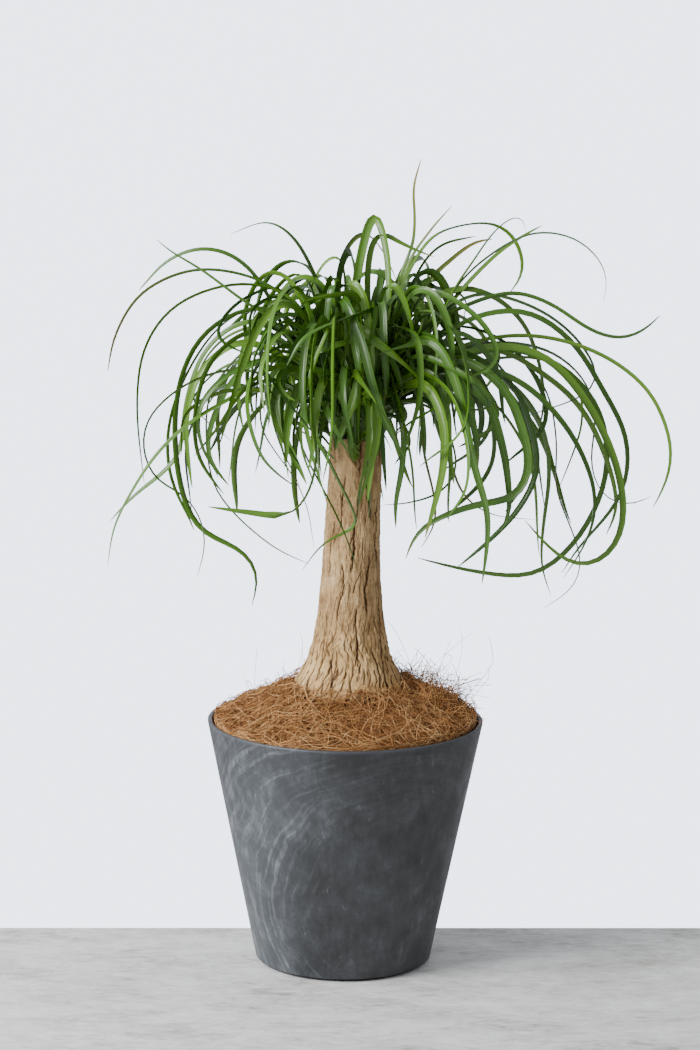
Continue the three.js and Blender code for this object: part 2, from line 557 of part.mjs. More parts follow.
// The leaf's midrib from its stem through its path, turned about Z at its root and resized, with
// the direction across the blade and its half width at every station
function blade(leaf, stem, turn = 0, size = 1) {
  const first = leaf.path[0];
  const out = vector(first[0] - stem.tip.x, first[1] - stem.tip.y, 0);
  const middleHeight = lerp(stem.foot.z, stem.tip.z, 0.5);
  const rise = Math.atan2(first[2] - middleHeight, out.length()) / (Math.PI / 2);
  const root = stem.foot.clone().lerp(stem.tip, lerp(0.25, 0.95, clamp(rise, 0, 1)))
    .add(out.setLength(0.45 * stem.radius));
  const path = leaf.path.map((p) => vector(...p).sub(root).multiplyScalar(size)
    .applyAxisAngle(vector(0, 0, 1), radians(turn)).add(root));
  const midrib = new THREE.CatmullRomCurve3([root, ...path], false, 'catmullrom', 0.5)
    .getSpacedPoints(FINE_STEPS);
  const middle = midrib[FINE_STEPS / 2];
  const level = vector(-(middle.y - root.y), middle.x - root.x, 0).normalize();
  return midrib.map((point, station) => {
    const share = station / FINE_STEPS;
    const along = midrib[Math.min(station + 1, FINE_STEPS)].clone()
      .sub(midrib[Math.max(station - 1, 0)]).normalize();
    const across = level.clone().projectOnPlane(along).normalize()
      .applyAxisAngle(along, radians(leaf.roll + leaf.twist * share) * Math.min(share / 0.25, 1));
    const taper = (1 - share ** 1.7) * Math.min(0.55 + 2.5 * share, 1);
    return { point, across, share, half: 0.5 * leaf.width * taper + TIP_HALF_WIDTH };
  });
}

// Every so many millimetres one station is kept
function thinned(stations) {
  const length = stations[0].point.distanceTo(stations[1].point) * FINE_STEPS;
  const steps = clamp(Math.round(length / STATION_SPACING), FEWEST_STEPS, MOST_STEPS);
  return Array.from({ length: steps + 1 }, (_, i) => stations[Math.round((i * FINE_STEPS) / steps)]);
}

// A long thin box round each straight stretch of a blade: middle, three axes, three half sizes
function boxesOf(stations) {
  return stations.slice(1).map((next, i) => {
    const here = stations[i];
    const chord = next.point.clone().sub(here.point);
    const length = chord.length();
    const along = chord.normalize();
    const across = here.across.clone().add(next.across).projectOnPlane(along).normalize();
    const normal = along.clone().cross(across);
    const half = Math.max(here.half, next.half);
    const tilt = Math.max(Math.abs(here.across.dot(normal)), Math.abs(next.across.dot(normal)));
    return {
      middle: here.point.clone().lerp(next.point, 0.5),
      axes: [along, across, normal],
      sizes: [length / 2 + 0.4, half, 0.5 * LEAF_THICKNESS + 0.7 * half * tilt].map((s) => s + CLEARANCE),
      share: here.share,
    };
  });
}

function stemBox({ foot, tip, radius, swell }) {
  const along = tip.clone().sub(foot).normalize();
  const across = along.clone().cross(vector(0, 0, 1)).normalize();
  return {
    middle: foot.clone().lerp(tip, 0.5),
    axes: [along, across, along.clone().cross(across)],
    sizes: [foot.distanceTo(tip) / 2 + 6, radius * swell + CLEARANCE, radius * swell + CLEARANCE],
    share: 0,
  };
}

const spanAlong = (axis, box) => box.sizes.reduce(
  (sum, size, i) => sum + size * Math.abs(axis.dot(box.axes[i])), 0);
const outer = (box) => Math.hypot(...box.sizes);

// Two boxes are parted when a face axis of either one sees daylight between them
function boxesMeet(a, b) {
  const between = b.middle.clone().sub(a.middle);
  if (between.length() >= outer(a) + outer(b)) return false;
  const parted = (one, other) => one.axes.some(
    (axis, i) => Math.abs(axis.dot(between)) > one.sizes[i] + spanAlong(axis, other));
  return !parted(a, b) && !parted(b, a);
}

// Each leaf in turn is tried as it stands, then turned by 3 degrees more to either side and made
// a little shorter, until it is clear of every other shoot and, past its foot, of its own leaves
const TRIALS = 31;
const FOOT_SHARE = 0.12;
const BUD = stems.length - 1;

function placeLeaves() {
  const budLeaves = BUD_LEAVES.map((leaf) => ({ ...leaf, bud: true }));
  const leaves = [...LEFT_LEAVES, ...TOP_LEAVES, ...RIGHT_LEAVES, ...budLeaves];
  for (let k = 0; k < FILL_LEAVES; k += 1) leaves.push(fillLeaf(k));
  const placed = stems.map((stem, shoot) => ({ ...stemBox(stem), shoot }));
  const blades = stems.map(() => []);
  const settle = (shoot, stations) => {
    const boxes = boxesOf(stations);
    const meets = placed.filter((other) => boxes.some((box) => boxesMeet(box, other)
      && (other.shoot !== shoot || Math.min(box.share, other.share) > FOOT_SHARE)));
    return { boxes, crossesOther: meets.some((m) => m.shoot !== shoot), crossesOwn: meets.length > 0 };
  };
  leaves.forEach((leaf) => {
    const shoot = leaf.bud ? BUD : nearestShoot(leaf.path[0]);
    let best = null;
    for (let trial = 0; trial < TRIALS; trial += 1) {
      const effort = Math.ceil(trial / 2);
      const turn = (trial % 2 ? 1 : -1) * 3 * effort;
      const stations = thinned(blade(leaf, stems[shoot], turn, 1 - 0.008 * effort));
      const result = settle(shoot, stations);
      if (!result.crossesOther && (!best || !result.crossesOwn)) best = { stations, ...result };
      if (best && !best.crossesOwn) break;
    }
    if (!best) return;
    blades[shoot].push(best.stations);
    placed.push(...best.boxes.map((box) => ({ ...box, shoot })));
  });
  return blades;
}

// A blade with a three-cornered section: two edges, and a keel below the midrib
function bladeSolid(stations, thickness) {
  const rows = stations.map(({ point, across, half }, i) => {
    const before = stations[Math.max(i - 1, 0)].point;
    const after = stations[Math.min(i + 1, stations.length - 1)].point;
    const up = after.clone().sub(before).normalize().cross(across);
    const keel = 0.5 * thickness + 0.17 * half;
    return [
      point.clone().addScaledVector(across, half).addScaledVector(up, 0.3 * keel),
      point.clone().addScaledVector(across, -half).addScaledVector(up, 0.3 * keel),
      point.clone().addScaledVector(up, -keel),
    ];
  });
  const points = rows.flat();
  const triangles = [0, 2, 1];
  const last = points.length - 3;
  triangles.push(last, last + 1, last + 2);
  for (let i = 0; i + 1 < rows.length; i += 1) {
    for (let j = 0; j < 3; j += 1) {
      const [a, b] = [3 * i + j, 3 * i + ((j + 1) % 3)];
      triangles.push(a, b, b + 3, a, b + 3, a + 3);
    }
  }
  return solidFrom(points, triangles);
}

// A shoot: its blades grown one by one onto its stem. A blade that would only touch another along
// an edge is made a little thicker, until it parts from it or joins it
function shootSolid(stem, blades) {
  const whole = blades.reduce((grown, stations) => {
    for (let thickness = LEAF_THICKNESS; thickness < THICKEST; thickness += THICKER) {
      const next = oneBody(grown.add(bladeSolid(stations, thickness)));
      if (!isPinched(next)) return next;
    }
    return grown;
  }, stemSolid(stem));
  const slimmed = SLIM_TOLERANCES.map((tolerance) => oneBody(whole.simplify(tolerance)));
  return slimmed.find((solid) => !isPinched(solid)) ?? whole;
}

// --- assembly ---

const finish = (color, roughness) => new THREE.MeshStandardMaterial({ color, roughness, metalness: 0 });
const stone = finish(0x6d7479, 0.55);
const soil = finish(0x2e2118, 0.95);
const coir = finish(0x9a6f45, 0.95);
const bark = finish(0xb8966c, 0.85);
const wax = finish(0x1c1916, 0.4);
const foliage = finish(0x3c6a24, 0.5);

const plant = new THREE.Group();
plant.add(
  meshOf('planter', potSolid(), stone),
  meshOf('potting_soil', soilSolid(), soil),
  meshOf('coir_mulch', mulchSolid(), coir),
  meshOf('trunk', trunkSolid(), bark),
  meshOf('cut_seal', sealSolid(), wax),
);
const blades = placeLeaves();
stems.forEach((stem, i) => {
  plant.add(meshOf(stem.name, shootSolid(stem, blades[i]), foliage));
});

export default plant;
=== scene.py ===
# %% [markdown]
# # A ponytail palm in a cast stone planter
# The plant stands in a tapered planter: a bare trunk, swollen at its foot, cut flat and sealed with
# wax, with five leafy shoots and one bud round the cut. The solid frame is loaded first. Most pieces
# made below are finer skins for its solids, in the same places and at the same sizes, and the rest
# are coir hairs that lie on them.

# %% Load the frame
import math
import bpy
import numpy as np
from mathutils import Matrix, Vector


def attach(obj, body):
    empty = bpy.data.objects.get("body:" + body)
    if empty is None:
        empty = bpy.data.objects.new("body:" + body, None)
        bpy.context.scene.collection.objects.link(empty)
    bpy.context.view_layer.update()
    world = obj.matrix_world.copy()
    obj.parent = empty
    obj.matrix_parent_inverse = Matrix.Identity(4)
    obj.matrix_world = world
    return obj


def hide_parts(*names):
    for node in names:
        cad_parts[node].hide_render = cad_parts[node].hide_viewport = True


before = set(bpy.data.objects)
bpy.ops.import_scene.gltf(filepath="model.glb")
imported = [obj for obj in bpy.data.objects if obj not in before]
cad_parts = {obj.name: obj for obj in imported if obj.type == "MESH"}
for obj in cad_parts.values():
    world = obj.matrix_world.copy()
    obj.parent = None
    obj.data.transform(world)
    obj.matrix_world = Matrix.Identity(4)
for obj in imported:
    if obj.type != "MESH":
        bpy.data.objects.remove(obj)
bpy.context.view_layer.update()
MM = 0.001  # the shapes are worked out in millimetres, and the scene is in metres

# %% [markdown]
# ## Colours and nodes
# Colours are picked in sRGB, as on a colour card, but light adds up in linear values, so one function
# turns the one into the other. A finish is a net of nodes, and it could be wired by hand, node by
# node. One helper that makes a node, sets its sockets and links it keeps each net readable.

# %% Colours
def linear(hex_colour):
    """sRGB hex to the linear RGBA that shaders use: c/12.92 below 0.04045, else ((c+0.055)/1.055)**2.4."""
    c = np.array([int(hex_colour[i:i + 2], 16) / 255 for i in (0, 2, 4)])
    return (*np.where(c <= 0.04045, c / 12.92, ((c + 0.055) / 1.055) ** 2.4).tolist(), 1.0)


print("mid grey is", linear("808080")[0])

# %% Nodes
def add(tree, kind, inputs=None, stops=(), **settings):
    """A new node with its settings and links, given back as its outputs.

    Settings are the node's own properties. Inputs are keyed by the socket's name or place: another
    node's socket is linked to it, a hex colour is set on it in linear values, and a number as it
    is. Stops are the (place, hex colour) pairs of a colour ramp.
    """
    node = tree.nodes.new("ShaderNode" + kind)
    for label, value in settings.items():
        setattr(node, label, value)
    for socket, value in (inputs or {}).items():
        if isinstance(value, bpy.types.NodeSocket):
            tree.links.new(value, node.inputs[socket])
        else:
            node.inputs[socket].default_value = linear(value) if isinstance(value, str) else value
    while stops and len(node.color_ramp.elements) < len(stops):
        node.color_ramp.elements.new(0.5)
    for k, (place, hex_colour) in enumerate(stops):
        node.color_ramp.elements[k].position = place
        node.color_ramp.elements[k].color = linear(hex_colour)
    return node.outputs


def finish(name, roughness, specular):
    """A new material with the given gloss: itself, its tree, its shader and its Object coordinates."""
    material = bpy.data.materials.new(name)
    material.use_nodes = True
    tree = material.node_tree
    shader = tree.nodes["Principled BSDF"]
    shader.inputs["Roughness"].default_value = roughness
    shader.inputs["Specular IOR Level"].default_value = specular
    return material, tree, shader, add(tree, "TexCoord")["Object"]


print("node helpers ready")

# %% [markdown]
# ## Camera, floor and light
# A long lens from a little above keeps the sides of the planter nearly straight. The floor is a
# pale grey table top that ends just behind the planter, and beyond it there is only plain bluish
# white light. Several softboxes could light a studio set like this, but one broad lamp on the left
# in a bright room is enough: it gives the soft shadow on the right.

# %% Camera
CAMERA_PLACE = (0.00274, -3.4586, 1.0938)
CAMERA_PITCH = 0.1839   # downwards, in radians
CAMERA_ROLL = 0.0105    # about the line of sight
LENS, SENSOR = 120.0, 36.0

camera_data = bpy.data.cameras.new("camera")
camera_data.lens = LENS
camera_data.sensor_width = SENSOR
camera = bpy.data.objects.new("camera", camera_data)
bpy.context.collection.objects.link(camera)
camera.matrix_world = (Matrix.Translation(CAMERA_PLACE) @ Matrix.Rotation(math.pi / 2 - CAMERA_PITCH, 4, "X")
                       @ Matrix.Rotation(CAMERA_ROLL, 4, "Z"))
bpy.context.scene.camera = camera
print("camera at", CAMERA_PLACE)

# %% Room light
WINDOW_SIDE, FAR_SIDE = 0.95, 0.45   # strength of the room's light from the left and from the right

world = bpy.data.worlds.new("bluish white room")
world.use_nodes = True
room = world.node_tree
sky = room.nodes["Background"]
sky.inputs["Color"].default_value = linear("f3f6fb")
sideways = add(room, "SeparateXYZ", {0: add(room, "TexCoord")["Generated"]})[0]
strength = add(room, "MapRange", {"Value": sideways, "From Min": -1.0, "From Max": 1.0,
                                  "To Min": WINDOW_SIDE, "To Max": FAR_SIDE})["Result"]
room.links.new(strength, sky.inputs["Strength"])
bpy.context.scene.world = world
print("room light from", WINDOW_SIDE, "on the left to", FAR_SIDE, "on the right")

# %% Lamp
LAMP_PLACE, LAMP_AIM, LAMP_SIZE, LAMP_POWER = (-1.9, -1.1, 1.7), (0, 0, 0.35), 1.3, 115

lamp_data = bpy.data.lights.new("broad lamp on the left", "AREA")
lamp_data.size = LAMP_SIZE
lamp_data.energy = LAMP_POWER
lamp = bpy.data.objects.new("broad lamp on the left", lamp_data)
lamp.location = LAMP_PLACE
lamp.rotation_euler = (Vector(LAMP_AIM) - Vector(LAMP_PLACE)).to_track_quat("-Z", "Y").to_euler()
bpy.context.collection.objects.link(lamp)
print("lamp:", LAMP_SIZE, "m wide,", LAMP_POWER, "W")

# %% Flat pieces of the set
def flat_stage(name, corners, material):
    """One four-cornered face in metres that belongs to the set and not to the plant."""
    mesh = bpy.data.meshes.new(name)
    mesh.from_pydata(corners, [], [(0, 1, 2, 3)])
    mesh.materials.append(material)
    made = bpy.data.objects.new(name, mesh)
    bpy.context.collection.objects.link(made)


# A white panel lit from behind, far beyond the table, so that it brightens the background alone
PANEL_AT, PANEL_HALF_WIDTH, PANEL_LOW, PANEL_HIGH, PANEL_GLOW = 7.0, 1.35, -2.7, 1.1, 4.0

glow = bpy.data.materials.new("lit white panel")
glow.use_nodes = True
glowing = glow.node_tree.nodes["Principled BSDF"].inputs
glowing["Base Color"].default_value = linear("000000")
glowing["Emission Color"].default_value = linear("e6efff")
glowing["Emission Strength"].default_value = PANEL_GLOW
corners = ((-1, PANEL_LOW), (1, PANEL_LOW), (1, PANEL_HIGH), (-1, PANEL_HIGH))
flat_stage("backdrop", [(side * PANEL_HALF_WIDTH, PANEL_AT, z) for side, z in corners], glow)
print("backdrop", 2 * PANEL_HALF_WIDTH, "m wide")

# %% [markdown]
# ## Table top
# The table top under the planter is honed pale concrete, with faint clouds where it was wiped and
# brownish clouds of painted shade that darken it towards the right. It is flat, so one four-cornered face is
# all that it needs, and the clouds could be painted on it. Noise read in stretched space gives them at any
# size instead.

# %% Table top
TABLE_SIDE, TABLE_FRONT, TABLE_BACK = 4, -6, 0.096
TABLE_SKEW = 0.0345   # the back edge isn't quite square to the view

# Honed pale concrete: matt, with clouds about 60 mm across and grit about 8 mm across
material, tree, shader, place = finish("honed pale concrete", 0.6, 0.3)
wiped = add(tree, "Mapping", {"Vector": place, "Scale": (0.45, 1.0, 1.0)})[0]
clouds = add(tree, "TexNoise", {"Vector": wiped, "Scale": 17.0, "Detail": 8.0, "Roughness": 0.72})["Fac"]
grit = add(tree, "TexNoise", {"Vector": wiped, "Scale": 120.0, "Detail": 6.0, "Roughness": 0.75,
                              "Distortion": 0.8})["Fac"]
clouds = add(tree, "Math", {0: clouds, 1: 0.55}, operation="MULTIPLY")[0]
both = add(tree, "Math", {0: grit, 1: 0.45, 2: clouds}, operation="MULTIPLY_ADD")[0]
concrete = add(tree, "ValToRGB", {"Fac": both}, stops=[
    (0.38, "a5a49f"), (0.45, "cacac7"), (0.52, "dededc"), (0.62, "efefed")])["Color"]
# Painted shade: brownish clouds that darken the table top towards the right, away from the lamp
shade_clouds = add(tree, "TexNoise", {"Vector": wiped, "Scale": 6.0, "Detail": 7.0, "Roughness": 0.7})["Fac"]
shade_clouds = add(tree, "MapRange", {"Value": shade_clouds, "From Min": 0.48, "From Max": 0.66, "To Max": 0.5})[0]
right = add(tree, "MapRange", {"Value": add(tree, "SeparateXYZ", {0: place})[0],
                               "From Min": 0.05, "From Max": 0.30})[0]
painted_shade = add(tree, "Math", {0: shade_clouds, 1: right}, operation="MULTIPLY")[0]
concrete = add(tree, "Mix", {0: painted_shade, 6: concrete, 7: "a39c8f"}, data_type="RGBA")[2]
tree.links.new(concrete, shader.inputs["Base Color"])
rough = add(tree, "Bump", {"Height": grit, "Distance": 0.002, "Strength": 0.4})[0]
tree.links.new(rough, shader.inputs["Normal"])
flat_stage("table_top", [(-TABLE_SIDE, TABLE_FRONT, 0), (TABLE_SIDE, TABLE_FRONT, 0),
                         (TABLE_SIDE, TABLE_BACK + TABLE_SIDE * TABLE_SKEW, 0),
                         (-TABLE_SIDE, TABLE_BACK - TABLE_SIDE * TABLE_SKEW, 0)], material)
print("table top ends", TABLE_BACK, "m behind the middle")

# %% [markdown]
# ## Shapes from arrays
# A mesh could be pulled about by hand, but here every shape is a formula: a whole array of points,
# which one function turns into a mesh. Most pieces are rings of points laid one above the other.

# %% Meshes from arrays
def piece(name, points, faces, replaced, values=None, sharp_from=None):
    """A mesh object at the origin from points in mm, riding on the root body.

    values holds one number for every point under each attribute's name. The surface is shaded
    smooth, save across edges that turn by more than sharp_from degrees.
    """
    mesh = bpy.data.meshes.new(name)
    faces = faces if isinstance(faces, list) else faces.tolist()
    mesh.from_pydata((np.asarray(points) * MM).tolist(), [], faces)
    for label, numbers in (values or {}).items():
        layer = mesh.attributes.new(label, "FLOAT", "POINT")
        layer.data.foreach_set("value", np.asarray(numbers, np.float32).ravel())
    mesh.polygons.foreach_set("use_smooth", np.ones(len(mesh.polygons), bool))
    if sharp_from:
        mesh.set_sharp_from_angle(angle=math.radians(sharp_from))
    mesh.update()
    made = bpy.data.objects.new(name, mesh)
    bpy.context.collection.objects.link(made)
    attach(made, "root")
    if replaced:
        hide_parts(replaced)
    print(name, len(points), "points", sum(len(p.vertices) - 2 for p in mesh.polygons), "triangles")
    return made


def tube_faces(rows, columns, first=0, rows_close=False):
    """Four-cornered faces of a grid of rows by columns whose columns close into a ring.

    Corner (i, j) is point first + i*columns + j. With rows_close the last row joins the first.
    """
    i, j = np.meshgrid(np.arange(rows if rows_close else rows - 1), np.arange(columns), indexing="ij")
    below = i * columns
    above = ((i + 1) % rows) * columns
    right = (j + 1) % columns
    return first + np.stack([below + j, below + right, above + right, above + j], -1).reshape(-1, 4)


def closed_stack(rows):
    """Points and faces of rings laid one above the other, closed by a fan at each end.

    rows is (ring, point on the ring, xyz), counter-clockwise seen from above, lowest ring first.
    """
    count, sides = rows.shape[:2]
    points = np.vstack([rows.reshape(-1, 3), rows[0].mean(0), rows[-1].mean(0)])
    faces = tube_faces(count, sides).tolist()
    j, low, high = np.arange(sides), count * sides, count * sides + 1
    top = (count - 1) * sides
    faces += np.stack([(j + 1) % sides, j, np.full(sides, low)], 1).tolist()
    faces += np.stack([top + j, top + (j + 1) % sides, np.full(sides, high)], 1).tolist()
    return points, faces


print("two rings of three points have", len(tube_faces(2, 3)), "faces between them")

# %% [markdown]
# ## Noise
# Bark, felt and wax are uneven, but every run has to give the same unevenness. A random generator
# would depend on the order of its draws. Here each cell of a lattice has a number worked out from
# its own place, and noise is a smooth blend of those numbers.

# %% Noise on a lattice
def scramble(cells, seed):
    """A number from 0 to 1 for each whole-numbered cell (..., 3): multiply, mix and shift the bits.

    A product that outgrows 64 bits wraps round, which does no harm: only its low bits are used.
    """
    c = cells.astype(np.int64)
    with np.errstate(over="ignore"):
        h = (c[..., 0] * 73856093) ^ (c[..., 1] * 19349663) ^ (c[..., 2] * 83492791) ^ (seed * 2654435761)
        h = (h ^ (h >> 13)) * 1274126177 & 0xFFFFFFFF
        h = (h ^ (h >> 16)) * 2246822519 & 0xFFFFFFFF
    return ((h ^ (h >> 15)) & 0xFFFFFF) / float(0x1000000)


def noise(p, seed=0):
    """Smooth noise from 0 to 1: the cell corners' numbers, blended by 3t^2 - 2t^3 along each axis."""
    cell = np.floor(p)
    t = p - cell
    t = t * t * (3 - 2 * t)
    total = 0.0
    for corner in np.ndindex(2, 2, 2):
        share = np.prod(np.where(corner, t, 1 - t), axis=-1)
        total = total + share * scramble(cell + np.array(corner), seed)
    return total


def layered(p, octaves, seed):
    """Noise at doubling fineness, each layer half as strong as the one before, scaled back to 0 to 1."""
    shares = 0.5 ** np.arange(octaves)
    return sum(s * noise(p * 2.0 ** k + 17.3 * k, seed + k) for k, s in enumerate(shares)) / shares.sum()


def ramp(x, low, high):
    """0 below low, 1 above high and 3t^2 - 2t^3 between."""
    t = np.clip((x - low) / (high - low), 0, 1)
    return t * t * (3 - 2 * t)


print("noise at a point:", float(noise(np.array([0.5, 1.5, 2.5]))))

# %% [markdown]
# ## Planter
# The planter is cast from stone powder in resin: a straight taper 280 mm across at the rim, with a
# wall 5 mm thick, a softly rounded lip and a small inset foot. It is a lathe form: one profile
# turned about the upright axis. A Spin tool or a Screw modifier could turn it too, but worked out as
# an array its corner rounding is exact.

# %% Profile of the planter
RIM_RADIUS, RIM_HEIGHT, BASE_RADIUS, FOOT_RADIUS = 140.0, 251.0, 88.8, 84.5
FOOT_HEIGHT, WALL, FLOOR_THICKNESS, SOIL_TOP = 3.0, 5.0, 8.0, 238.0
FOOT_DRAFT = 0.4   # the foot leans out a little as it rises
CORNER_RADII = [0.5, 0.4, 1.0, 2.2, 1.8, 3.0]   # from the foot's edge over the lip to the floor
RING_SPACING, PLANTER_SIDES = 8.0, 160
AXIS_HOLE = 1.0    # the profile stops this far from the axis


def wall_radius(z):
    """Straight taper: BASE_RADIUS at the floor to RIM_RADIUS at the rim."""
    return BASE_RADIUS + (RIM_RADIUS - BASE_RADIUS) * z / RIM_HEIGHT


def rounded(corners, radii, steps=5):
    """A line of corners (n, 2) with each inner corner cut by a quarter-like arc.

    The arc runs from radius before the corner to radius after it: (1-t)^2 a + 2t(1-t) corner + t^2 b.
    """
    line = [corners[0]]
    for before, corner, after, radius in zip(corners, corners[1:], corners[2:], radii):
        before, corner, after = map(np.asarray, (before, corner, after))
        a = corner + (before - corner) * min(0.49, radius / np.linalg.norm(before - corner))
        b = corner + (after - corner) * min(0.49, radius / np.linalg.norm(after - corner))
        t = np.linspace(0, 1, steps)[:, None]
        line.extend((1 - t) ** 2 * a + 2 * t * (1 - t) * corner + t ** 2 * b)
    return np.array(line + [corners[-1]], float)


def filled_in(line, spacing):
    """The line with extra points so that none of its stretches is longer than the spacing."""
    parts = [np.linspace(a, b, max(2, int(np.ceil(np.linalg.norm(b - a) / spacing)) + 1))[:-1]
             for a, b in zip(line[:-1], line[1:])]
    return np.vstack(parts + [line[-1:]])


def turned(profile, sides, centre_x=0.0):
    """Rings (radius, height) turned about Z: x = centre + r cos a, y = r sin a, z = height."""
    angle = 2 * np.pi * np.arange(sides) / sides
    r, z = profile[:, 0][:, None], profile[:, 1][:, None]
    return np.stack([centre_x + r * np.cos(angle), r * np.sin(angle), z + 0 * angle], -1)


outside = [(AXIS_HOLE, 0.0), (FOOT_RADIUS, 0.0), (FOOT_RADIUS + FOOT_DRAFT, FOOT_HEIGHT),
           (wall_radius(FOOT_HEIGHT), FOOT_HEIGHT), (RIM_RADIUS, RIM_HEIGHT),
           (RIM_RADIUS - WALL, RIM_HEIGHT), (wall_radius(FLOOR_THICKNESS) - WALL, FLOOR_THICKNESS),
           (AXIS_HOLE, FLOOR_THICKNESS)]
planter_line = filled_in(rounded(outside, CORNER_RADII), RING_SPACING)
planter_points, planter_faces = closed_stack(turned(planter_line, PLANTER_SIDES))
planter = piece("stone_planter", planter_points, planter_faces, "planter")
planter.data.validate()
print("planter rim", RIM_RADIUS * 2, "mm across,", len(planter_line), "rings")

# %% [markdown]
# ## Cast stone finish
# The casting is poured in swirls, so pale and dark slurry lie in arcs round the place where they were
# poured, with mottled pale patches on one side. The arcs could be painted, but then they would fit
# one side only. They are noise read in a stretched space instead: distance from the pouring place
# runs fast, and everything else runs slowly.

# %% Swirls of slurry
# Blue-grey cast stone: eggshell gloss, so the rim and the sides catch a soft light along their edges
POURED_AT = (0.055, -0.118, 0.085)   # metres
ACROSS_ARCS, ALONG_ARCS = 44.0, 2.2  # the streaks are twenty times as long as they are wide

material, tree, shader, place = finish("marbled cast stone", 0.42, 0.5)
wander = add(tree, "TexNoise", {"Vector": place, "Scale": 9.0, "Detail": 3.0})["Color"]
drift = add(tree, "VectorMath", {0: wander, 1: (0.5, 0.5, 0.5)}, operation="SUBTRACT")[0]
drift = add(tree, "VectorMath", {0: drift, "Scale": 0.035}, operation="SCALE")[0]
bent = add(tree, "VectorMath", {0: place, 1: drift}, operation="ADD")[0]
reach = add(tree, "VectorMath", {0: bent, 1: POURED_AT}, operation="DISTANCE")["Value"]
apart = add(tree, "SeparateXYZ", {0: bent})
streak_place = add(tree, "CombineXYZ", {
    0: add(tree, "Math", {0: reach, 1: ACROSS_ARCS}, operation="MULTIPLY")[0],
    1: add(tree, "Math", {0: apart[0], 1: ALONG_ARCS}, operation="MULTIPLY")[0],
    2: add(tree, "Math", {0: apart[2], 1: ALONG_ARCS}, operation="MULTIPLY")[0]})[0]
streaks = add(tree, "TexNoise", {"Vector": streak_place, "Scale": 5.0, "Detail": 6.0,
                                 "Roughness": 0.62})["Fac"]
# Mottle about 24 mm across, cloudy patches about 90 mm across, and flecks of the slurry that are drawn
# out upwards, about 3 mm wide and 9 mm tall
mottle = add(tree, "TexNoise", {"Vector": bent, "Scale": 42.0, "Detail": 5.0, "Roughness": 0.65})["Fac"]
patches = add(tree, "TexNoise", {"Vector": place, "Scale": 11.0, "Detail": 2.0})["Fac"]
drawn = add(tree, "Mapping", {"Vector": bent, "Scale": (1.0, 1.0, 0.35)})[0]
flecks = add(tree, "TexNoise", {"Vector": drawn, "Scale": 150.0, "Detail": 5.0, "Roughness": 0.7})["Fac"]
print("cast stone: arcs round", POURED_AT)

# %% Tone of the stone
# The streaks lie along arcs and fade out near the pouring place
swept = add(tree, "MapRange", {"Value": reach, "From Min": 0.075, "From Max": 0.150})[0]
swing = add(tree, "Math", {0: streaks, 1: 0.5}, operation="SUBTRACT")[0]
tone = add(tree, "Math", {0: swept, 1: 0.55}, operation="MULTIPLY")[0]
tone = add(tree, "Math", {0: swing, 1: tone}, operation="MULTIPLY")[0]
fleck_swing = add(tree, "Math", {0: flecks, 1: 0.5}, operation="SUBTRACT")[0]
for pattern, weight in ((mottle, 0.45), (fleck_swing, 0.42), (patches, 0.5)):
    tone = add(tree, "Math", {0: pattern, 1: weight, 2: tone}, operation="MULTIPLY_ADD")[0]
stone = add(tree, "ValToRGB", {"Fac": tone}, stops=[
    (0.36, "202124"), (0.46, "2b2c30"), (0.56, "35373b"), (0.70, "484c52")])["Color"]

# The slurry is palest on the left, between the pouring place and the far side; this pale haze is
# partly pale slurry and partly painted light on the side towards the lamp
left = add(tree, "MapRange", {"Value": apart[0], "From Min": 0.0, "From Max": -0.09})[0]
near = add(tree, "MapRange", {"Value": reach, "From Min": 0.27, "From Max": 0.17})[0]
pale = add(tree, "Math", {0: swept, 1: left}, operation="MULTIPLY")[0]
pale = add(tree, "Math", {0: pale, 1: near}, operation="MULTIPLY")[0]
flaky = add(tree, "MapRange", {"Value": flecks, "From Min": 0.36, "From Max": 0.60})[0]
pale_flakes = add(tree, "Math", {0: pale, 1: flaky}, operation="MULTIPLY")[0]
print("tone of the stone from streaks, mottle, flecks and patches")

# %% Colours of the stone
# Layers from the widest to the finest: a haze on the left, pale patches, pale stripes, a few pale grains
# and a mid blue-grey band over the top of the lip. Each is a share, its strength and its colour.
patch = add(tree, "MapRange", {"Value": mottle, "From Min": 0.47, "From Max": 0.62})[0]
patch = add(tree, "Math", {0: patch, 1: pale_flakes}, operation="MULTIPLY")[0]
stripe = add(tree, "MapRange", {"Value": streaks, "From Min": 0.52, "From Max": 0.66})[0]
stripe = add(tree, "Math", {0: stripe, 1: pale_flakes}, operation="MULTIPLY")[0]
grains = add(tree, "MapRange", {"Value": flecks, "From Min": 0.64, "From Max": 0.74})[0]
upward = add(tree, "SeparateXYZ", {0: place})[2]
lip = add(tree, "MapRange", {"Value": upward, "From Min": 0.2475, "From Max": 0.2500})[0]
# The haze on the left, the first layer, is pale slurry together with painted light on the lamp's side
for share, strength, colour in ((pale, 0.28, "69717a"), (patch, 0.30, "7f868c"), (stripe, 0.72, "8d949a"),
                                (grains, 0.35, "7a7d80"), (lip, 0.35, "565c63")):
    share = add(tree, "Math", {0: share, 1: strength}, operation="MULTIPLY")[0]
    stone = add(tree, "Mix", {0: share, 6: stone, 7: colour}, data_type="RGBA")[2]
tree.links.new(stone, shader.inputs["Base Color"])
gloss = add(tree, "MapRange", {"Value": mottle, "From Min": 0.3, "From Max": 0.7,
                               "To Min": 0.50, "To Max": 0.36})[0]
tree.links.new(gloss, shader.inputs["Roughness"])
pores = add(tree, "TexNoise", {"Vector": place, "Scale": 420.0, "Detail": 3.0})["Fac"]
pores = add(tree, "Math", {0: pores, 1: 0.3}, operation="MULTIPLY")[0]
height = add(tree, "Math", {0: mottle, 1: 0.7, 2: pores}, operation="MULTIPLY_ADD")[0]
relief = add(tree, "Bump", {"Height": height, "Distance": 0.0006, "Strength": 0.5})[0]
tree.links.new(relief, shader.inputs["Normal"])
planter.data.materials.append(material)
print("finish:", material.name)

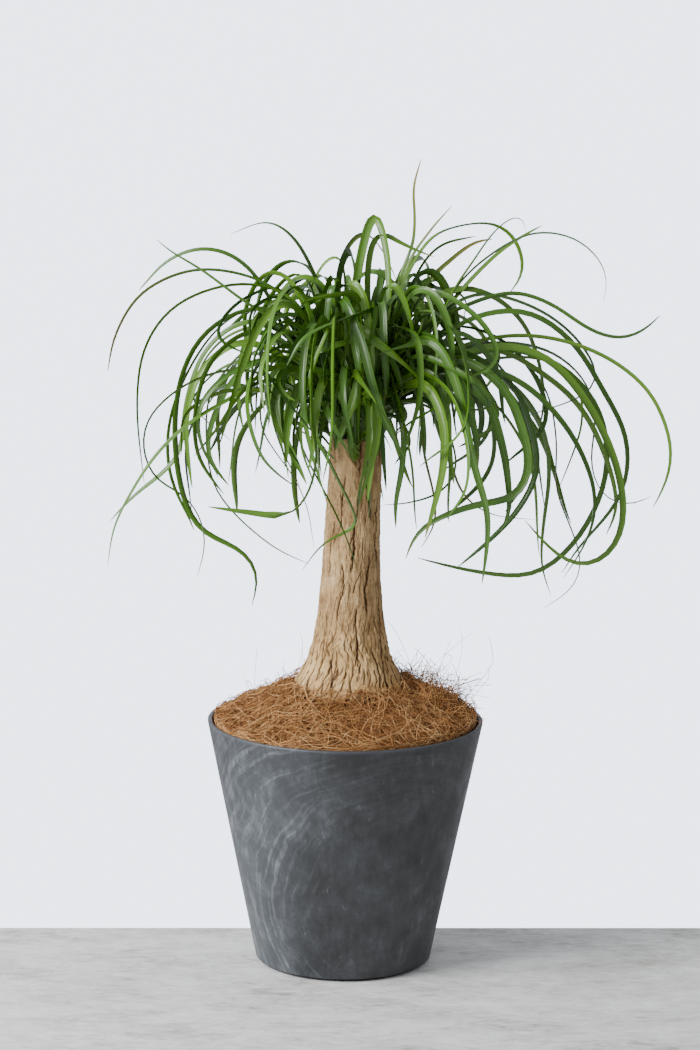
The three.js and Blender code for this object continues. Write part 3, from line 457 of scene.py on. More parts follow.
# %% [markdown]
# ## Potting soil
# The soil is hidden below the coir but closes the planter. Crumbs could be strewn on it one by one,
# but nobody sees them, and its solid is right as it is. So it only gets a finish: nearly black peat.

# %% Potting soil
# Moist peat: crumbs 3 to 5 mm across, nearly black, with no gloss
material, tree, shader, place = finish("moist peat", 0.95, 0.2)
crumbs = add(tree, "TexVoronoi", {"Vector": place, "Scale": 260.0})["Distance"]
peat = add(tree, "ValToRGB", {"Fac": crumbs}, stops=[(0.0, "3a2a1e"), (0.6, "1d140e")])["Color"]
tree.links.new(peat, shader.inputs["Base Color"])
rough = add(tree, "Bump", {"Height": crumbs, "Distance": 0.002, "Strength": 0.8})[0]
tree.links.new(rough, shader.inputs["Normal"])
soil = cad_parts["potting_soil"]
for held in soil.material_slots:
    held.material = material
print("soil has", len(soil.material_slots), "slot")

# %% [markdown]
# ## Coir mat
# Coir is the fibre of coconut husk. A loose mat of it lies on the soil and hides it: thousands of
# stiff, curly hairs in every direction. Blender's own hair could grow them, but it doesn't leave
# the scene as a mesh. So a felted cushion makes the body of the mat, and on top of it lie separate
# hairs, each a thin three-sided tube along a path of its own.

# %% Trunk outline, shared by the mat and the trunk
TRUNK_OUTLINE = np.array([
    [0, 205], [34, 210], [56, 224], [66, 243], [68, 262], [63, 276], [52.6, 295.5], [41.8, 317],
    [34.9, 348], [30.3, 390], [28.2, 432], [26.6, 500], [26, 541]], float)
OUTLINE_POINTS = 400
CUT_HEIGHT, TRUNK_X, TRUNK_LEAN, LEAN_START = 541.0, 4.0, 5.0, 350.0


def smooth_path(knots, t):
    """The uniform Catmull-Rom curve through the knots at shares t from 0 to 1.

    Between knots p1 and p2: p1 + m0 w + (3(p2-p1) - 2m0 - m1) w^2 + (2(p1-p2) + m0 + m1) w^3,
    with slopes m0 = (p2-p0)/2 and m1 = (p3-p1)/2, and a mirrored knot beyond each end.
    """
    knots = np.asarray(knots, float)
    place = (len(knots) - 1) * t
    i = np.minimum(np.floor(place).astype(int), len(knots) - 2)
    w = (place - i)[:, None]
    wide = np.vstack([2 * knots[0] - knots[1], knots, 2 * knots[-1] - knots[-2]])
    p0, p1, p2, p3 = wide[i], wide[i + 1], wide[i + 2], wide[i + 3]
    m0, m1 = 0.5 * (p2 - p0), 0.5 * (p3 - p1)
    return p1 + m0 * w + (-3 * p1 + 3 * p2 - 2 * m0 - m1) * w ** 2 + (2 * p1 - 2 * p2 + m0 + m1) * w ** 3


outline_fine = smooth_path(TRUNK_OUTLINE, np.linspace(0, 1, OUTLINE_POINTS))


def trunk_radius(z):
    """Radius of the bare trunk at a height, read off its outline."""
    return np.interp(z, outline_fine[:, 1], outline_fine[:, 0])


def trunk_x(z):
    """The trunk's middle moves right by TRUNK_LEAN above LEAN_START, with the square of the height."""
    return TRUNK_X + TRUNK_LEAN * (np.maximum(z - LEAN_START, 0) / (CUT_HEIGHT - LEAN_START)) ** 2


print("trunk", 2 * float(trunk_radius(400)), "mm across at 400 mm")

# %% Form of the mat
MULCH_EDGE, MULCH_CROWN, TUFT_HEIGHT = 251.0, 290.0, 2.2
GAP = 0.3                                        # between neighbours, as in the solids
MAT_INNER = trunk_radius(286.0) + GAP            # the mat meets the trunk at 286 mm
WALL_INSIDE = wall_radius(247.0) - WALL          # and the planter's wall at 247 mm
MAT_OUTER = WALL_INSIDE - 0.8
MAT_SPAN = MAT_OUTER - MAT_INNER


def coir_top(share, angle):
    """Height of the mat: share 0 at the trunk to 1 at the rim, higher behind on the right.

    It falls with share^0.8 and is tufted by waves that cross: sin(9a+5s) sin(17s+4a) + 0.6 sin(23a-11s).
    """
    tuft = np.sin(9 * angle + 5 * share) * np.sin(17 * share + 4 * angle)
    tuft = tuft + 0.6 * np.sin(23 * angle - 11 * share)
    back_right = 0.5 + 0.5 * np.cos(angle - math.radians(40))
    inner = MULCH_CROWN - 3 * (1 - back_right)
    return inner + (MULCH_EDGE - 3 - inner) * share ** 0.8 + TUFT_HEIGHT * tuft


def mat_place(share, angle):
    """Flat place on the mat: from the trunk's side at share 0 to the planter's wall at share 1."""
    centre = TRUNK_X * (1 - share)
    radius = MAT_INNER + MAT_SPAN * share
    return centre + radius * np.cos(angle), radius * np.sin(angle)


print("mat from", float(MAT_INNER), "to", MAT_OUTER, "mm")

# %% Cushion of the mat
MAT_ROWS, MAT_SIDES = 44, 220
FELT_SIZE, FELT_DEPTH = 6.0, 4.0   # lumps of the felt, in mm
HAIR_DEPTH, SUNK = 3.0, 2.5        # the felt, and the lying hairs' ends, are this far under the top

across = np.linspace(0, 1, MAT_ROWS)[:, None] + np.zeros((1, MAT_SIDES))
angle = np.zeros((MAT_ROWS, 1)) + 2 * np.pi * np.arange(MAT_SIDES)[None] / MAT_SIDES
x, y = mat_place(across, angle)
felt = layered(np.stack([x, y, 0 * x], -1) / FELT_SIZE, 3, 11)
z = coir_top(across, angle) - HAIR_DEPTH + FELT_DEPTH * (felt - 0.5)
underside = np.full_like(z, SOIL_TOP + 0.5)
under = np.stack([x, y, underside], -1)[[-1, MAT_ROWS // 2]]
foot_radius = trunk_radius(SOIL_TOP + 0.5) + GAP
foot_ring = np.stack([TRUNK_X + foot_radius * np.cos(angle[0]), foot_radius * np.sin(angle[0]),
                      underside[0]], -1)
mat_rows = np.concatenate([np.stack([x, y, z], -1), under, [foot_ring]])
mat_faces = tube_faces(len(mat_rows), MAT_SIDES, rows_close=True)[:, ::-1]
coir_cushion = piece("coir_cushion", mat_rows.reshape(-1, 3), mat_faces, "coir_mulch")
print("cushion rises to", float(z.max()), "mm")

# %% Hairs
def coir_hairs(name, paths, rng, radii, tone):
    """Three-sided tubes along many paths at once, each closed to a point at both ends.

    A point of the tube is path + r(t) (cos 120k side + sin 120k up), and r falls to 0 at the ends.
    Each hair draws its radius in mm, and its tone from 0, dark, to 1, bleached.
    """
    count, steps = paths.shape[:2]
    radius, shade = rng.uniform(*radii, count), rng.uniform(*tone, count)
    along = np.gradient(paths, axis=1)
    along /= np.linalg.norm(along, axis=-1, keepdims=True) + 1e-9
    side = np.cross(along, np.array([0.13, 0.31, 0.94]))
    side /= np.linalg.norm(side, axis=-1, keepdims=True) + 1e-9
    up = np.cross(side, along)
    t = np.linspace(0, 1, steps)
    slim = np.minimum(1, 6 * t * (1 - t) + 0.25)[None, :, None, None] * radius[:, None, None, None]
    turn = 2 * np.pi * np.arange(3) / 3
    ring = np.cos(turn)[:, None] * side[:, :, None] + np.sin(turn)[:, None] * up[:, :, None]
    body = (paths[:, :, None] + slim * ring).reshape(-1, 3)
    faces = (tube_faces(steps, 3)[None] + (np.arange(count) * steps * 3)[:, None, None]).reshape(-1, 4)
    first = (np.arange(count) * steps * 3)[:, None]
    caps = np.concatenate([first + [[2, 1, 0]], first + (steps - 1) * 3 + [[0, 1, 2]]])
    values = {"tone": np.repeat(shade, steps * 3)}
    return piece(name, body, faces.tolist() + caps.tolist(), None, values)


def lying_paths(count, steps, length, lift, curl, seed):
    """Paths of hairs that lie on the mat, with the generator that drew them.

    Each is centred on a place drawn evenly over the mat. Its heading turns steadily, by curl, and in
    a wave. It rises by lift in the middle, as sin(pi t)^0.8, and sinks back into the felt. It is held
    1.2 mm inside the planter's wall and clear of the trunk.
    """
    rng = np.random.default_rng(seed)
    share = np.sqrt(rng.uniform(0.0, 1.0, count))
    x0, y0 = mat_place(share, rng.uniform(0, 2 * np.pi, count))
    run = rng.uniform(*length, count)[:, None]
    t = np.linspace(0, 1, steps)[None]
    heading = rng.uniform(0, 2 * np.pi, count)[:, None] + rng.normal(0, curl, count)[:, None] * (t - 0.5)
    wave, start = rng.normal(0, 0.32, count)[:, None], rng.uniform(0, 1, count)[:, None]
    heading = heading + wave * np.sin(2 * np.pi * (1.3 * t + start))
    x = x0[:, None] + np.cumsum(np.cos(heading) * run / steps, axis=1)
    y = y0[:, None] + np.cumsum(np.sin(heading) * run / steps, axis=1)
    x -= (x.mean(1, keepdims=True) - x0[:, None])
    y -= (y.mean(1, keepdims=True) - y0[:, None])
    far = np.hypot(x, y)
    held = np.minimum(far, WALL_INSIDE - 1.2) / np.maximum(far, 1e-6)
    x, y = x * held, y * held
    from_trunk = np.hypot(x - TRUNK_X, y)
    push = np.maximum(from_trunk, MAT_INNER * 0.97) / np.maximum(from_trunk, 1e-6)
    x, y = TRUNK_X + (x - TRUNK_X) * push, y * push
    share_here = np.clip((np.hypot(x - TRUNK_X, y) - MAT_INNER) / MAT_SPAN, 0, 1)
    rise = rng.uniform(*lift, count)[:, None] * np.sin(np.pi * t) ** 0.8
    z = coir_top(share_here, np.arctan2(y, x)) - SUNK + rise + 0.8 * np.sin(9 * t + 6 * heading)
    return np.stack([x, y, z], -1), rng


print("hair helpers ready")

# %% Lying hairs
# A real mat has far more and finer hairs. These are 0.3 to 0.7 mm thick, so that they show.
low_paths, rng = lying_paths(count=3300, steps=10, length=(40, 105), lift=(0.5, 5.0), curl=0.8, seed=41)
coir_low = coir_hairs("coir_hairs_low", low_paths, rng, radii=(0.24, 0.42), tone=(-0.25, 0.70))
high_paths, rng = lying_paths(count=2450, steps=14, length=(60, 150), lift=(2.0, 13.0), curl=0.75, seed=42)
coir_high = coir_hairs("coir_hairs_high", high_paths, rng, radii=(0.20, 0.38), tone=(0.0, 1.0))
print("lying hairs:", len(low_paths) + len(high_paths))

# %% [markdown]
# ## Stray hairs
# Loose ends stand up out of the mat, most of them behind the trunk on the right, where the mat is
# torn into a tuft. They could be combed by hand, but drawn arcs look as stray as the real ones.

# %% Stray hairs
TUFT_SHARE, TUFT_BEARING, TUFT_SPREAD = 0.62, math.radians(12), 0.45
LONG_SHARE, LONG_TIMES = 0.10, 2.2   # one hair in ten is more than twice as long


def stray_paths(count, steps, seed):
    """Arcs that leave the mat steeply and lean over while their heading turns steadily:
    z = z0 + run (sin(rise) t - bend t^2).

    A hair stays inside the planter until it stands 2 mm above the rim, and may then lean out by 12.
    """
    rng = np.random.default_rng(seed)
    tuft = rng.uniform(0, 1, count) < TUFT_SHARE
    angle = np.where(tuft, rng.normal(TUFT_BEARING, TUFT_SPREAD, count), rng.uniform(0, 2 * np.pi, count))
    share = np.where(tuft, rng.uniform(0.1, 0.85, count), rng.uniform(0.02, 0.98, count))
    x0, y0 = mat_place(share, angle)
    z0 = (coir_top(share, angle) - HAIR_DEPTH)[:, None]
    t = np.linspace(0, 1, steps)[None]
    run = np.where(tuft, rng.uniform(16, 58, count), rng.uniform(14, 46, count))
    run = np.where(rng.uniform(0, 1, count) < LONG_SHARE, LONG_TIMES * run, run)[:, None]
    rise = rng.uniform(0.35, 1.35, count)[:, None]
    heading = rng.uniform(0, 2 * np.pi, count)[:, None] + rng.normal(0, 2.4, count)[:, None] * t
    flat = run * np.cos(rise) / steps
    x = x0[:, None] + np.cumsum(np.cos(heading) * flat, axis=1)
    y = y0[:, None] + np.cumsum(np.sin(heading) * flat, axis=1)
    z = z0 + run * (np.sin(rise) * t - rng.uniform(0.1, 0.7, count)[:, None] * t ** 2)
    far = np.hypot(x, y)
    held = np.minimum(far, RIM_RADIUS - 2 + np.clip(z - RIM_HEIGHT - 2, 0, 12)) / far
    return np.stack([x * held, y * held, np.maximum(z, z0 - 1)], -1), rng


stray, rng = stray_paths(count=1300, steps=14, seed=43)
coir_stray = coir_hairs("coir_hairs_stray", stray, rng, radii=(0.18, 0.34), tone=(0.0, 0.8))
print("stray hairs:", len(stray))

# %% [markdown]
# ## Coir finish
# Coconut fibre is russet brown, and some hairs are bleached to straw. One colour for all would look
# like plastic, so each hair carries a tone of its own, and the whole mat drifts a little in colour.

# %% Coconut fibre
# Coconut fibre: russet brown to straw, with a slight waxy gleam
material, tree, shader, place = finish("coconut fibre", 0.62, 0.35)
tone = add(tree, "Attribute", attribute_name="tone")["Fac"]
drifting = add(tree, "TexNoise", {"Vector": place, "Scale": 30.0, "Detail": 2.0})["Fac"]
drifting = add(tree, "Math", {0: drifting, 1: 0.3}, operation="MULTIPLY")[0]
shade = add(tree, "Math", {0: tone, 1: 0.75, 2: drifting}, operation="MULTIPLY_ADD")[0]
fibre = add(tree, "ValToRGB", {"Fac": shade}, stops=[
    (0.05, "53331b"), (0.35, "916033"), (0.62, "ba854d"), (0.95, "e2ba84")])["Color"]
tree.links.new(fibre, shader.inputs["Base Color"])
for hair in (coir_low, coir_high, coir_stray):
    hair.data.materials.append(material)
print("finish:", material.name)

# %% Felted fibre
# Felted coir below the hairs: matt, its brown painted darker as shade under the hairs, with near-black
# painted shade in the gaps between the fibres 1 to 3 mm wide
material, tree, shader, place = finish("felted coconut fibre", 0.9, 0.2)
fibres = add(tree, "TexNoise", {"Vector": place, "Scale": 330.0, "Detail": 4.0, "Roughness": 0.7,
                                "Distortion": 2.5})["Fac"]
shaded_browns = [(0.36, "1c1008"), (0.52, "4b2e18"), (0.66, "7c532c")]
felt = add(tree, "ValToRGB", {"Fac": fibres}, stops=shaded_browns)["Color"]
tree.links.new(felt, shader.inputs["Base Color"])
rough = add(tree, "Bump", {"Height": fibres, "Distance": 0.003, "Strength": 1.0})[0]
tree.links.new(rough, shader.inputs["Normal"])
coir_cushion.data.materials.append(material)
print("finish:", material.name)

# %% [markdown]
# ## Trunk
# Above the mat the swollen foot narrows to a bare stem. The bark is corky and rather smooth, parted
# by long upright cracks that waver, fork and close again, and on the swollen foot it is torn
# into short strips. It could be a bump in the material, but the cracks show in the outline too, so
# the relief is in the mesh: the solid's own main cracks, and finer ones between them.

# %% Main cracks
CRACKS, CRACK_DEPTH, CRACK_SHOULDER, BARK_FOOT = 13, 1.8, 0.09, 285.0


def wrapped(angle):
    """The angle brought to -pi to pi by whole turns."""
    return (angle + np.pi) % (2 * np.pi) - np.pi


def bareness(z):
    """0 where the trunk is buried to 1 from 20 mm above the coir."""
    return np.clip((z - BARK_FOOT) / 20, 0, 1)


def crack_bearing(k, z):
    """Crack k's bearing: 2pi/13 (k + bareness (0.18 sin(z/23 + 2.4k) + 0.08 sin(z/8 + 1.7k)))."""
    sway = 0.18 * np.sin(z / 23 + 2.4 * k) + 0.08 * np.sin(z / 8 + 1.7 * k)
    return 2 * np.pi / CRACKS * (k + bareness(z) * sway)


def crack_opening(k, z):
    """How far crack k is open: 0.55 + 0.9 sin(z/15 + 2.9k) held to 0..1, halved towards the cut."""
    thin = 1 - 0.5 * np.clip((z - 420) / 100, 0, 1)
    return bareness(z) * thin * np.clip(0.55 + 0.9 * np.sin(z / 15 + 2.9 * k), 0, 1)


def nearest_crack(angle, z, ragged):
    """Distance in mm, with its sign, from the nearest main crack, and how far that crack is open.

    ragged is added to the distance, so the crack's edges are torn while its course stays.
    """
    best, opened = np.full(angle.shape, 99.0), np.zeros(angle.shape)
    for k in range(CRACKS):
        off = wrapped(angle - crack_bearing(k, z)) * trunk_radius(z) + ragged
        nearer = np.abs(off) < np.abs(best)
        best, opened = np.where(nearer, off, best), np.where(nearer, crack_opening(k, z), opened)
    return best, opened


print("crack 0 at 400 mm bears", float(crack_bearing(0, 400.0)), "rad")

# %% Fine cracks and torn strips
def upright_lines(angle, z, count, sway, tall, ragged, seed):
    """Phase of count upright lines round the trunk, whole on each line, and their spacing in mm.

    The phase is count a/2pi + sway (noise - 0.5) + ragged / spacing, so the lines waver over
    stretches tall mm high but stay upright.
    """
    ring = np.stack([np.cos(angle) / 1.8, np.sin(angle) / 1.8, z / tall], -1)
    spacing = 2 * np.pi * trunk_radius(z) / count
    phase = count * angle / (2 * np.pi) + sway * (layered(ring, 2, seed) - 0.5) + ragged / spacing
    return phase, spacing


def line_distance(phase, spacing):
    """Distance in mm, with its sign, from the nearest line: the phase's step to a whole number."""
    return ((phase + 0.5) % 1 - 0.5) * spacing


def strips(phase, spacing, z, count, length, seed):
    """Torn strips of bark: their level from 0 to 1, and the distances in mm to the side and to the
    lower end of the strip.

    Along a strip, pieces a length long end in an arrowhead: the share along is
    (z + length |u|) / length plus the strip's own draw, where u is the share across from -0.5 to 0.5.
    Every piece of a strip has a level of its own.
    """
    strip = np.floor(phase + 0.5)
    u = phase - strip
    strip = strip % count
    own = scramble(np.stack([strip, 0 * strip, 0 * strip], -1), seed + 3)
    share = (z + length * np.abs(u)) / length + 7.3 * own
    part = np.floor(share)
    level = scramble(np.stack([strip, part, 0 * strip], -1), seed + 4)
    return level, (0.5 - np.abs(u)) * spacing, (share - part) * length


print("strip of the first point:", strips(np.array([0.2]), 8.0, np.array([300.0]), 34, 17.0, 205))

# %% Bark relief
GIRTH = 30.0   # the noise is read on a plain cylinder of this radius, so that it doesn't stretch
# Families of fine cracks: how many round the trunk, sway, height of a wave in mm, seed, height in mm
# of the patches where they open, the noise at which they do, and strength
FINE_CRACKS = ((11, 2.3, 42.0, 45, 22.0, 0.50, 1.0), (29, 3.4, 26.0, 105, 11.0, 0.46, 0.9))
# Families of strips: how many round the trunk, sway, height of a wave, length in mm, seed, strength
STRIPS = ((34, 3.2, 24.0, 17.0, 205, 1.0), (47, 4.2, 18.0, 11.0, 305, 0.7))


def bark(angle, z):
    """Relief of the bark in mm, outwards, with the share of each point that is crack, and its tone.

    The main cracks are the solid's own: a shallow valley as wide as its shoulders with a torn slit
    in it. Two families of finer cracks cross them at slight angles, so they fork and meet in Vs, and
    one lip of every crack is lifted where the bark peels: exp(-distance / 2.6 mm) on that side.
    """
    flare = ramp(z, 372.0, 318.0)
    smooth_top = ramp(z, 470.0, 530.0)
    base = np.stack([GIRTH * np.cos(angle), GIRTH * np.sin(angle), z], -1)

    def read(wide, tall, seed, octaves=2):
        return layered(base / np.array([wide, wide, tall]), octaves, seed)

    teeth = 2.6 * (read(16.0, 3.4, 71) - 0.5) + 1.2 * (read(8.0, 1.8, 73) - 0.5)
    off, opened = nearest_crack(angle, z, teeth)
    width = 0.45 + 1.5 * read(5, 8.0, 6) ** 1.6
    cut = ramp(np.abs(off), 1.1 * width + 0.3, 0.3 * width) * ramp(opened, 0.05, 0.5)
    valley = opened * CRACK_DEPTH * np.clip(1 - np.abs(off) / (CRACK_SHOULDER * trunk_radius(z)), 0, 1)
    lip = np.exp(-np.maximum(off, 0) / 2.6) * ramp(off, -0.2, 1.0) * ramp(opened, 0.1, 0.6)
    lip = lip * (0.4 + 0.9 * read(7, 12.0, 8))
    crumbs = np.exp(-np.abs(off) / 2.6) * ramp(opened, 0.05, 0.4) * (read(2.0, 2.6, 81) - 0.5)
    relief = -0.75 * valley - 1.0 * cut * (1 - 0.4 * smooth_top) + 0.85 * lip + 2.2 * crumbs
    crack = cut * (1 - 0.35 * smooth_top)
    wide = np.clip(trunk_radius(z) / 42, 0.7, 1.5)
    for count, sway, tall, seed, patch, low, strength in FINE_CRACKS:
        line = line_distance(*upright_lines(angle, z, count, sway, tall, 0.8 * teeth, seed))
        width = (0.3 + 1.1 * read(4, 6.0, seed + 1) ** 1.5) * wide
        share = ramp(read(5.0, patch, seed + 2), low, low + 0.10)
        on_flare = (0.25 + 0.75 * flare) * (1 - 0.8 * smooth_top)
        share = share * (on_flare if count > 20 else 1 - 0.5 * smooth_top)
        cut = ramp(np.abs(line), 1.1 * width + 0.3, 0.3 * width) * share
        peel = share * np.exp(-np.maximum(line, 0) / 2.2) * ramp(line, -0.3, 0.8)
        relief = relief - 0.9 * strength * cut + 0.7 * strength * peel
        crack = np.maximum(crack, strength * cut)
    torn = 0.0
    for count, sway, tall, length, seed, strength in STRIPS:
        phase, spacing = upright_lines(angle, z, count, sway, tall, 0.7 * teeth, seed)
        level, aside, below = strips(phase, spacing, z, count, length, seed)
        rough = strength * (0.52 + 0.48 * flare) * (1 - 0.7 * smooth_top)
        opened_here = ramp(read(4.0, 9.0, seed + 5), 0.42, 0.56) * rough
        width = (0.35 + 0.9 * read(3.5, 5.0, seed + 6)) * wide
        cut = ramp(aside, 1.2 * width + 0.2, 0.2 * width) * opened_here
        foot = ramp(below, 1.9, 0.3) * ramp(level, 0.35, 0.7) * opened_here
        relief = relief + rough * (1.5 * (level - 0.5) - 0.9 * cut - 0.7 * foot)
        crack = np.maximum(crack, np.maximum(cut, 0.85 * foot))
        torn = torn + rough * (level - 0.5)
    plates = read(6.0, 22.0, 35) - 0.5
    grain = layered(np.stack([base[..., 0] / 1.3, base[..., 1] / 1.3, z / 9], -1), 3, 31) - 0.5
    wrinkles = layered(np.stack([base[..., 0] / 12, base[..., 1] / 12, z / 1.9], -1), 2, 33) - 0.5
    relief = relief + 0.8 * plates * (0.5 + flare) + 0.7 * grain + 0.45 * wrinkles
    return relief, np.clip(crack, 0, 1), np.clip(0.5 + 1.2 * plates + 0.5 * torn, 0, 1)


print("bark formula ready")

# %% Curled lips
# Where the bark is curled under the bud and under the left shoot: bearing, and height of the V's foot
CURLS = ((-math.pi / 2 + 0.06, 513.0), (-math.pi + 0.62, 531.0))


def lips(angle, z):
    """Raised Vs whose arms climb to both sides by 17 mm in 0.55 rad: each is 2.4 exp(-(climb/2.4)^2),
    with a dent above it."""
    raised = 0.0
    for middle, foot in CURLS:
        off = wrapped(angle - middle)
        climb = z - foot - 17 * np.abs(off) / 0.55
        raised = raised + 2.4 * np.exp(-(climb / 2.4) ** 2) * ramp(np.abs(off), 0.62, 0.42)
        raised = raised - 1.4 * np.exp(-((climb - 6) / 4.0) ** 2) * ramp(np.abs(off), 0.4, 0.1)
    return raised


print("curled lips:", len(CURLS))

# %% Skin of the trunk
BARK_ROWS, BARK_SIDES, BURIED, CROWN_X = 224, 430, 262.0, 8.8
EDGE_ROUNDING = 1.2                                       # the sawn edge is a little worn
BELOW_BARK = (212.0, 224.0, 243.0)                        # heights of the rings in the soil
CUT_RINGS = ((24.6, 0.2), (23.0, -0.5), (8.0, -0.5))      # radius, and height above the cut

angle = (2 * np.pi * np.arange(BARK_SIDES) / BARK_SIDES)[None] + np.zeros((BARK_ROWS, 1))
height = np.linspace(BURIED, CUT_HEIGHT, BARK_ROWS)[:, None] + np.zeros((1, BARK_SIDES))
relief, crack, plate_tone = bark(angle, height)
worn = np.clip((height - 539.5) / 1.5, 0, 1)
shoulder = EDGE_ROUNDING * np.sqrt(np.clip(1 - worn ** 2, 0, 1)) - EDGE_ROUNDING
radius = trunk_radius(height) + relief * ramp(height, BURIED, BARK_FOOT) + lips(angle, height) + shoulder
bark_rows = np.stack([trunk_x(height) + radius * np.cos(angle), radius * np.sin(angle), height], -1)
buried_rings = [turned(np.array([[trunk_radius(v) - 1.0, v]]), BARK_SIDES, TRUNK_X)[0] for v in BELOW_BARK]
cut_rings = [turned(np.array([[r, CUT_HEIGHT + d]]), BARK_SIDES, CROWN_X)[0] for r, d in CUT_RINGS]


def padded_out(numbers):
    """Numbers of the bark's own rows, with zeros for the rings below and above and for the two ends."""
    below, above = np.zeros(len(buried_rings) * BARK_SIDES), np.zeros(len(cut_rings) * BARK_SIDES)
    return np.concatenate([below, numbers.ravel(), above, [0, 0]])


trunk_points, trunk_faces = closed_stack(np.concatenate([buried_rings, bark_rows, cut_rings]))
trunk = piece("bark_trunk", trunk_points, trunk_faces, "trunk",
              {"crack": padded_out(crack), "plate": padded_out(plate_tone)})
print("deepest crack", float(relief.min()), "mm")

# %% [markdown]
# ## Bark finish
# Cork is tan and dry on its plates. Its cracks are painted dark brown, partly the bark's own darker
# colour and partly painted shade, so the mesh tells the material where they are.

# %% Tan plates
# Corky bark: dry and matt, tan plates each a little different. Its fibre is 1 to 2 mm wide and drawn
# out upwards, and it is crossed by bands about 2 mm tall and clouded every 26 mm.
material, tree, shader, place = finish("corky bark", 0.85, 0.25)
crack_share = add(tree, "Attribute", attribute_name="crack")["Fac"]
plate_share = add(tree, "Attribute", attribute_name="plate")["Fac"]
tall = add(tree, "Mapping", {"Vector": place, "Scale": (1.0, 1.0, 0.22)})[0]
flat = add(tree, "Mapping", {"Vector": place, "Scale": (0.25, 0.25, 1.0)})[0]
fibre = add(tree, "TexNoise", {"Vector": tall, "Scale": 700.0, "Detail": 4.0, "Roughness": 0.65})["Fac"]
bands = add(tree, "TexNoise", {"Vector": flat, "Scale": 420.0, "Detail": 3.0})["Fac"]
clouds = add(tree, "TexNoise", {"Vector": place, "Scale": 38.0, "Detail": 3.0})["Fac"]
tone = add(tree, "Math", {0: plate_share, 1: 0.22}, operation="MULTIPLY")[0]
for pattern, weight in ((fibre, 0.33), (clouds, 0.30), (bands, 0.20)):
    tone = add(tree, "Math", {0: pattern, 1: weight, 2: tone}, operation="MULTIPLY_ADD")[0]
cork = add(tree, "ValToRGB", {"Fac": tone}, stops=[
    (0.34, "785c3c"), (0.47, "9f8059"), (0.58, "ba9a6e"), (0.72, "d3b68b")])["Color"]
print("plates tinted by fibre, clouds and bands")

# %% Dust and cracks
# Dust from the coir makes the flare paler, and the cracks are painted brown, partly their own colour and
# partly painted shade, then nearly black in their depth as painted shade
upward = add(tree, "SeparateXYZ", {0: place})[2]
low = add(tree, "MapRange", {"Value": upward, "From Min": 0.375, "From Max": 0.315, "To Max": 0.36})[0]
torn = add(tree, "MapRange", {"Value": crack_share, "From Min": 0.08, "From Max": 0.60, "To Max": 0.88})[0]
painted_crack_shade = add(tree, "MapRange", {"Value": crack_share, "From Min": 0.72, "From Max": 1.0})[0]
for share, colour in ((low, "e0b87a"), (torn, "5f4326"), (painted_crack_shade, "2a1c11")):
    cork = add(tree, "Mix", {0: share, 6: cork, 7: colour}, data_type="RGBA")[2]
tree.links.new(cork, shader.inputs["Base Color"])
height = add(tree, "Math", {0: bands, 1: 0.6, 2: fibre}, operation="MULTIPLY_ADD")[0]
rough = add(tree, "Bump", {"Height": height, "Distance": 0.0007, "Strength": 0.6})[0]
tree.links.new(rough, shader.inputs["Normal"])
trunk.data.materials.append(material)
print("finish:", material.name)

# %% [markdown]
# ## Wax on the cut
# The grower sealed the sawn top with black wax. It was brushed on, so it has brush ridges, pools
# against the shoots and stops short of the bark in a wavy line. A disc with a bump would do from
# afar, but its edge is thick enough to catch the light, so the ridges are in the mesh.

# %% Sealed cut
WAX_ROWS, WAX_SIDES, WAX_RADIUS, WAX_RISE = 22, 96, 23.6, 1.5

share, turn_at = np.meshgrid(np.linspace(1, 0.03, WAX_ROWS), 2 * np.pi * np.arange(WAX_SIDES) / WAX_SIDES,
                             indexing="ij")
edge_radius = WAX_RADIUS + 0.7 * np.sin(5 * turn_at) + 0.5 * np.sin(11 * turn_at + 1)
x, y = edge_radius * share * np.cos(turn_at), edge_radius * share * np.sin(turn_at)
ridges = 0.5 * (layered(np.stack([x / 9, y / 2.2, 0 * x], -1), 3, 51) - 0.5)
top = CUT_HEIGHT + GAP + WAX_RISE * (1 - share ** 14) ** 0.5 + ridges * (1 - share ** 6)
rim = np.stack([CROWN_X + x[:1] * 0.98, y[:1] * 0.98, 0 * x[:1] + CUT_HEIGHT - GAP], -1)
wax_points, wax_faces = closed_stack(np.concatenate([rim, np.stack([CROWN_X + x, y, top], -1)]))
cut_seal = piece("cut_wax", wax_points, wax_faces, "cut_seal")
print("wax", 2 * WAX_RADIUS, "mm across")

# %% Wax finish
# Grafting wax: black, brushed on warm, with a broad soft shine on its ridges and a bloom of dust
material, tree, shader, place = finish("black grafting wax", 0.38, 0.5)
dust = add(tree, "TexNoise", {"Vector": place, "Scale": 160.0, "Detail": 4.0})["Fac"]
wax = add(tree, "ValToRGB", {"Fac": dust}, stops=[(0.4, "14110f"), (0.75, "3a342e")])["Color"]
tree.links.new(wax, shader.inputs["Base Color"])
gloss = add(tree, "MapRange", {"Value": dust, "From Min": 0.4, "From Max": 0.7,
                               "To Min": 0.3, "To Max": 0.6})[0]
tree.links.new(gloss, shader.inputs["Roughness"])
rough = add(tree, "Bump", {"Height": dust, "Distance": 0.0008, "Strength": 0.5})[0]
tree.links.new(rough, shader.inputs["Normal"])
cut_seal.data.materials.append(material)
print("finish:", material.name)
